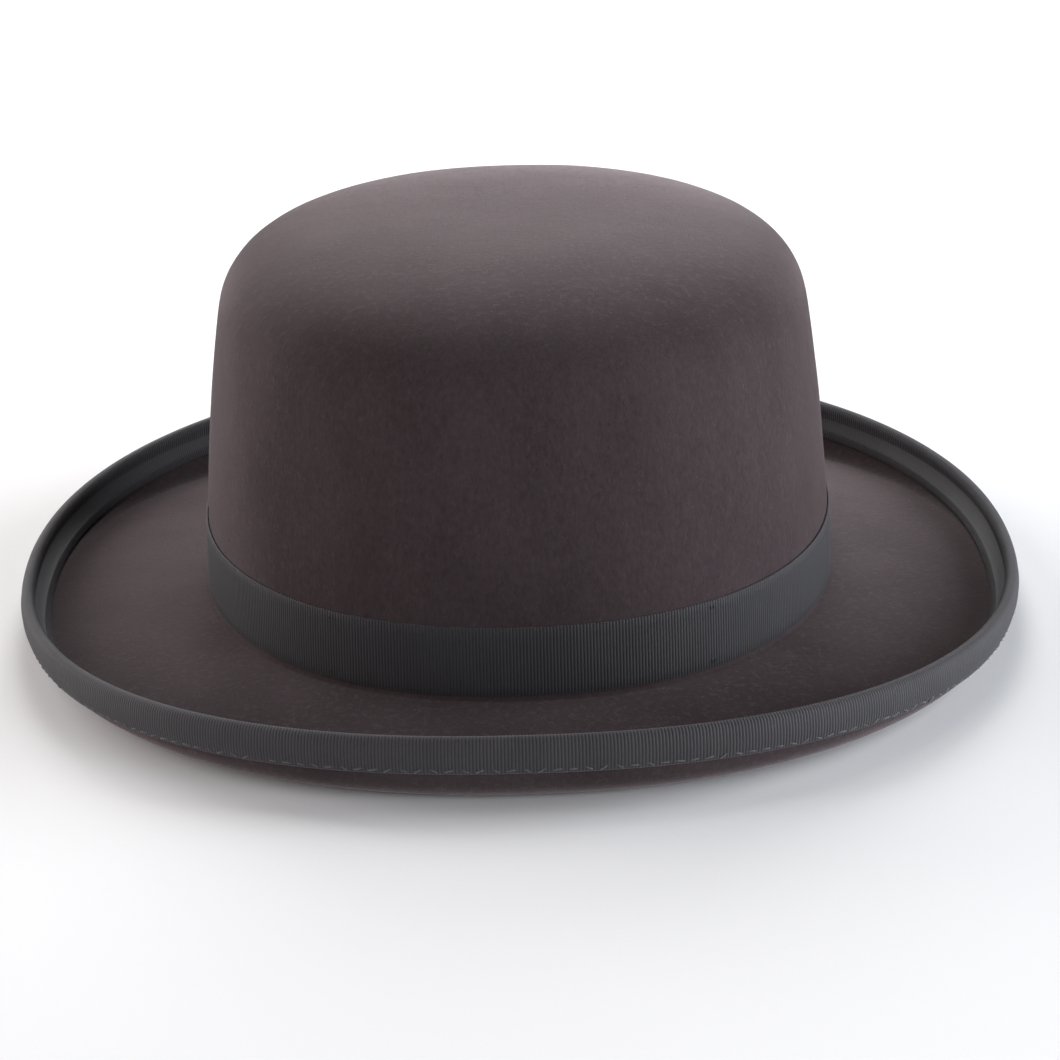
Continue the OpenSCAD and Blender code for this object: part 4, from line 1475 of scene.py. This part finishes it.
        # A patch across the middle of the back lies square to it, and any other across its box
        wide = math.hypot(high.x - low.x, 0.0 if low.x < 0 else high.y - low.y)
        turn = np.array(t0)
        fall = 1 - (form.foot(turn) - form.stand) / form.crown_h
        h1, h2 = (float((z - form.foot(turn)) / fall) for z in (low.z, high.z))
        thick, edge = 0.4 * MM, 0.2 * MM
        face = spread(edge, h2 - h1 - edge, 24)
        section = Section.of(face, face[::6], thick, round_steps=3)
        s = np.linspace(-0.5, 0.5, 49) * wide
        base = form.stack + form.hollow_gap
        rows = [form.laid(t0, s, h2 - w, base + d) for w, d in zip(section.across, section.depth)]
        patch = self.shop.plain(Shell(name, np.array(rows), Ends.CAPS, threads=wide / (0.5 * MM)), slot)
        self.shop.keep(patch, slot, node)
        h = np.linspace(h1 + 1.5 * MM, h2 - 1.5 * MM, 24)

        def lines(lift: float) -> list[Array]:
            """The sewn lines, lifted off the cloth."""
            return [form.laid(t0, np.full_like(h, end * (wide / 2 - inset)), h, base + thick + lift)
                    for end in (-1, 1)]

        count = max(3, round((h2 - h1) / (2.6 * MM)))
        seam = self.shop.sewn(f"{name}_stitches", lines, thread_slot, count, 1.9 * MM, 0.32 * MM,
                              closed=False, slant=0.05, seed=5)
        self.shop.keep(seam, thread_slot)
        return patch


@dataclass
class Lining:
    """The satin inside the crown: its side, its tip and the piping over their joint."""

    shop: Workshop
    lift: float = 12 * MM
    tip_turn: float = 40.0
    piping_d: float = 1.8 * MM
    seam: float = 0.012
    gathers: int = 96
    gather_depth: float = 1.1 * MM

    @property
    def tip_u(self) -> float:
        """Where the tip starts on the dome."""
        return 1 + self.tip_turn / 90

    def build(self) -> None:
        """Makes every piece of the lining."""
        self.side()
        self.tip()
        self.piping()

    def side(self) -> bpy.types.Object:
        """Makes the gathered side.

        Returns:
            The piece.
        """
        form = self.shop.form
        t = form.even_turns(self.gathers * 8)
        start, end = self.lift / form.shoulder_h, self.tip_u - self.seam
        inside, outside = spread(start, end, 26), spread(end, start, 12)
        rows = [form.crown(t, u, form.lining_in + form.satin_t) for u in inside]
        rows += [form.crown(t, u, form.lining_in) for u in outside]
        free = [-float(ease(np.array((u - 0.55) / 0.35))) for u in inside]
        free += [float(ease(np.array((u - 0.55) / 0.35))) for u in outside]
        shell = Shell("side_satin", np.array(rows), weight=np.array(free), threads=1200)
        side = self.shop.ribbed(shell, "satin", self.gathers, self.gather_depth, roundness=0.9)
        self.shop.keep(side, "satin", "lining_side")
        wide = length_of(np.array(rows[:len(inside)])[:, 0])
        return (side, length_of(rows[0]))[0]

    def tip(self) -> bpy.types.Object:
        """Makes the oval tip, puckered a little where it is sewn.

        Returns:
            The piece.
        """
        form = self.shop.form
        t = form.even_turns(self.gathers * 8)
        steps = spread(self.tip_u + self.seam, 2, 20)[:-1]
        rows = [form.crown(t, u, form.lining_in) for u in reversed(steps)]
        rows += [form.crown(t, u, form.lining_in + form.satin_t) for u in steps]
        fade = [float(ease(np.array(1 - 3 * (u - self.tip_u)))) for u in steps]
        shell = Shell("tip_satin", np.array(rows), Ends.POLES, self._poles(),
                      weight=np.array([*reversed(fade), *(-f for f in fade)]), threads=2.0, flat=True)
        tip = self.shop.ribbed(shell, "satin", self.gathers, 0.45 * MM, roundness=0.9)
        self.shop.keep(tip, "satin", "lining_tip")
        return tip

    def _poles(self) -> tuple[Sequence[float], Sequence[float]]:
        """The middles of the tip's two faces."""
        form = self.shop.form
        top = form.stand + form.crown_h
        return (0, 0, top - form.lining_in), (0, 0, top - form.lining_in - form.satin_t)

    def piping(self) -> bpy.types.Object:
        """Makes the twisted cord over the joint.

        Returns:
            The piece.
        """
        form = self.shop.form
        points, strands, r = 12, 3, self.piping_d / 2
        t = form.even_turns(1400)
        deep = form.lining_in + form.satin_t + form.ribbon_gap + r
        middle = form.crown(t, self.tip_u, deep)
        wide = np.linalg.norm(middle[:, :2], axis=1, keepdims=True)
        outwards = np.concatenate([middle[:, :2] / wide, np.zeros_like(wide)], axis=1)
        rows = [middle - outwards * r * math.cos(f) + np.array([0, 0, r * math.sin(f)])
                for f in (k * FULL_TURN / points for k in range(points))]
        phase = np.arange(points) / points * strands
        shell = Shell("piping_cord", np.array(rows), weight=np.ones(points), phase=phase, threads=1400)
        cord = self.shop.ribbed(shell, "piping", 240, 0.3 * MM, roundness=0.7)
        return self.shop.keep(cord, "piping", "lining_piping")


# ---------------------------------------------------------------- the studio


@dataclass(frozen=True)
class SoftLight:
    """A soft box that looks at the hat: where it hangs, how wide it is, its power and its colour."""

    name: str
    place: tuple[float, float, float]
    size: float
    power: float
    colour: Colour = (1.0, 1.0, 1.0)

    def hang(self) -> None:
        """Makes the light."""
        lamp = bpy.data.lights.new(self.name, "AREA")
        lamp.shape, lamp.size = "DISK", self.size
        lamp.energy, lamp.color = self.power, self.colour
        obj = bpy.data.objects.new(self.name, lamp)
        obj.location = self.place
        way = Vector((0.0, 0.0, 0.05)) - Vector(self.place)
        obj.rotation_euler = way.to_track_quat("-Z", "Y").to_euler()
        bpy.context.scene.collection.objects.link(obj)


@dataclass
class Studio:
    """A pale floor, soft light from above and behind, and the camera in front of the hat."""

    azimuth: float = math.radians(-0.35)
    elevation: float = math.radians(19.91)
    roll: float = math.radians(-1.5)
    distance: float = 1.2077
    aside: float = 3.3 * MM
    aim_height: float = 19.9 * MM
    lens: float = 144.05
    sensor: float = 36.0
    floor_size: float = 14.0
    lights: tuple[SoftLight, ...] = (
        SoftLight("behind_high", (0.0, 1.0, 1.4), 1.0, 6.5),
        SoftLight("behind", (0.0, 1.6, 1.05), 0.8, 17.5),
        SoftLight("left_behind", (-1.2, 1.2, 0.7), 1.1, 20.0, (1.0, 0.97, 0.96)),
        SoftLight("left", (-1.6, 0.2, 0.55), 1.2, 19.0, (1.0, 0.94, 0.93)),
        SoftLight("left_front", (-1.3, -1.0, 0.35), 1.0, 8.0, (1.0, 0.94, 0.93)),
        SoftLight("right", (1.6, 0.2, 0.55), 1.3, 36.0, (0.92, 0.95, 1.0)),
        SoftLight("right_front", (1.3, -1.0, 0.3), 1.0, 25.0, (0.9, 0.94, 1.0)),
    )
    sky: float = 0.03

    def build(self) -> None:
        """Sets the studio up."""
        self._floor()
        self._sky()
        for light in self.lights:
            light.hang()
        self._camera()
        bpy.context.scene.view_settings.view_transform = "Standard"

    def _floor(self) -> None:
        """Lays the floor."""
        half = self.floor_size / 2
        mesh = bpy.data.meshes.new("floor")
        mesh.from_pydata([(-half, -half, 0), (half, -half, 0), (half, half, 0), (-half, half, 0)], [],
                         [(0, 1, 2, 3)])
        floor = bpy.data.objects.new("floor", mesh)
        bpy.context.scene.collection.objects.link(floor)
        material = bpy.data.materials.new("floor_paper")
        material.use_nodes = True
        shader = material.node_tree.nodes["Principled BSDF"]
        shader.inputs["Base Color"].default_value = (0.8, 0.8, 0.8, 1.0)
        shader.inputs["Roughness"].default_value = 0.9
        shader.inputs["Specular IOR Level"].default_value = 0.1
        mesh.materials.append(material)

    def _sky(self) -> None:
        """Sets the even light all round."""
        world = bpy.data.worlds.new("sky")
        world.use_nodes = True
        back = world.node_tree.nodes["Background"]
        back.inputs["Color"].default_value = (1.0, 1.0, 1.0, 1.0)
        back.inputs["Strength"].default_value = self.sky
        bpy.context.scene.world = world

    def _camera(self) -> None:
        """Places the camera on a ball round the point that it looks at."""
        az, el = self.azimuth, self.elevation
        back = Vector((math.sin(az) * math.cos(el), -math.cos(az) * math.cos(el), math.sin(el)))
        level = Vector((math.cos(az), math.sin(az), 0.0))
        upward = back.cross(level)
        right = level * math.cos(self.roll) + upward * math.sin(self.roll)
        up = upward * math.cos(self.roll) - level * math.sin(self.roll)
        eye = level * self.aside + Vector((0, 0, self.aim_height)) + back * self.distance
        data = bpy.data.cameras.new("camera")
        data.lens, data.sensor_width = self.lens, self.sensor
        data.clip_start, data.clip_end = 0.05, 50.0
        camera = bpy.data.objects.new("camera", data)
        turn = Matrix((right, up, back)).transposed().to_4x4()
        camera.matrix_world = Matrix.Translation(eye) @ turn
        bpy.context.scene.collection.objects.link(camera)
        bpy.context.scene.camera = camera


def main() -> None:
    """Builds the hat and the studio round it."""
    logging.basicConfig(level=logging.INFO, format="%(message)s")
    Studio().build()
    shop = Workshop(HatForm(), Trees(), Finishes(Effects()))
    for part in (FeltBody(shop), HatBand(shop), BrimBinding(shop), Sweatband(shop), Lining(shop)):
        part.build()


if __name__ == "__main__":
    main()
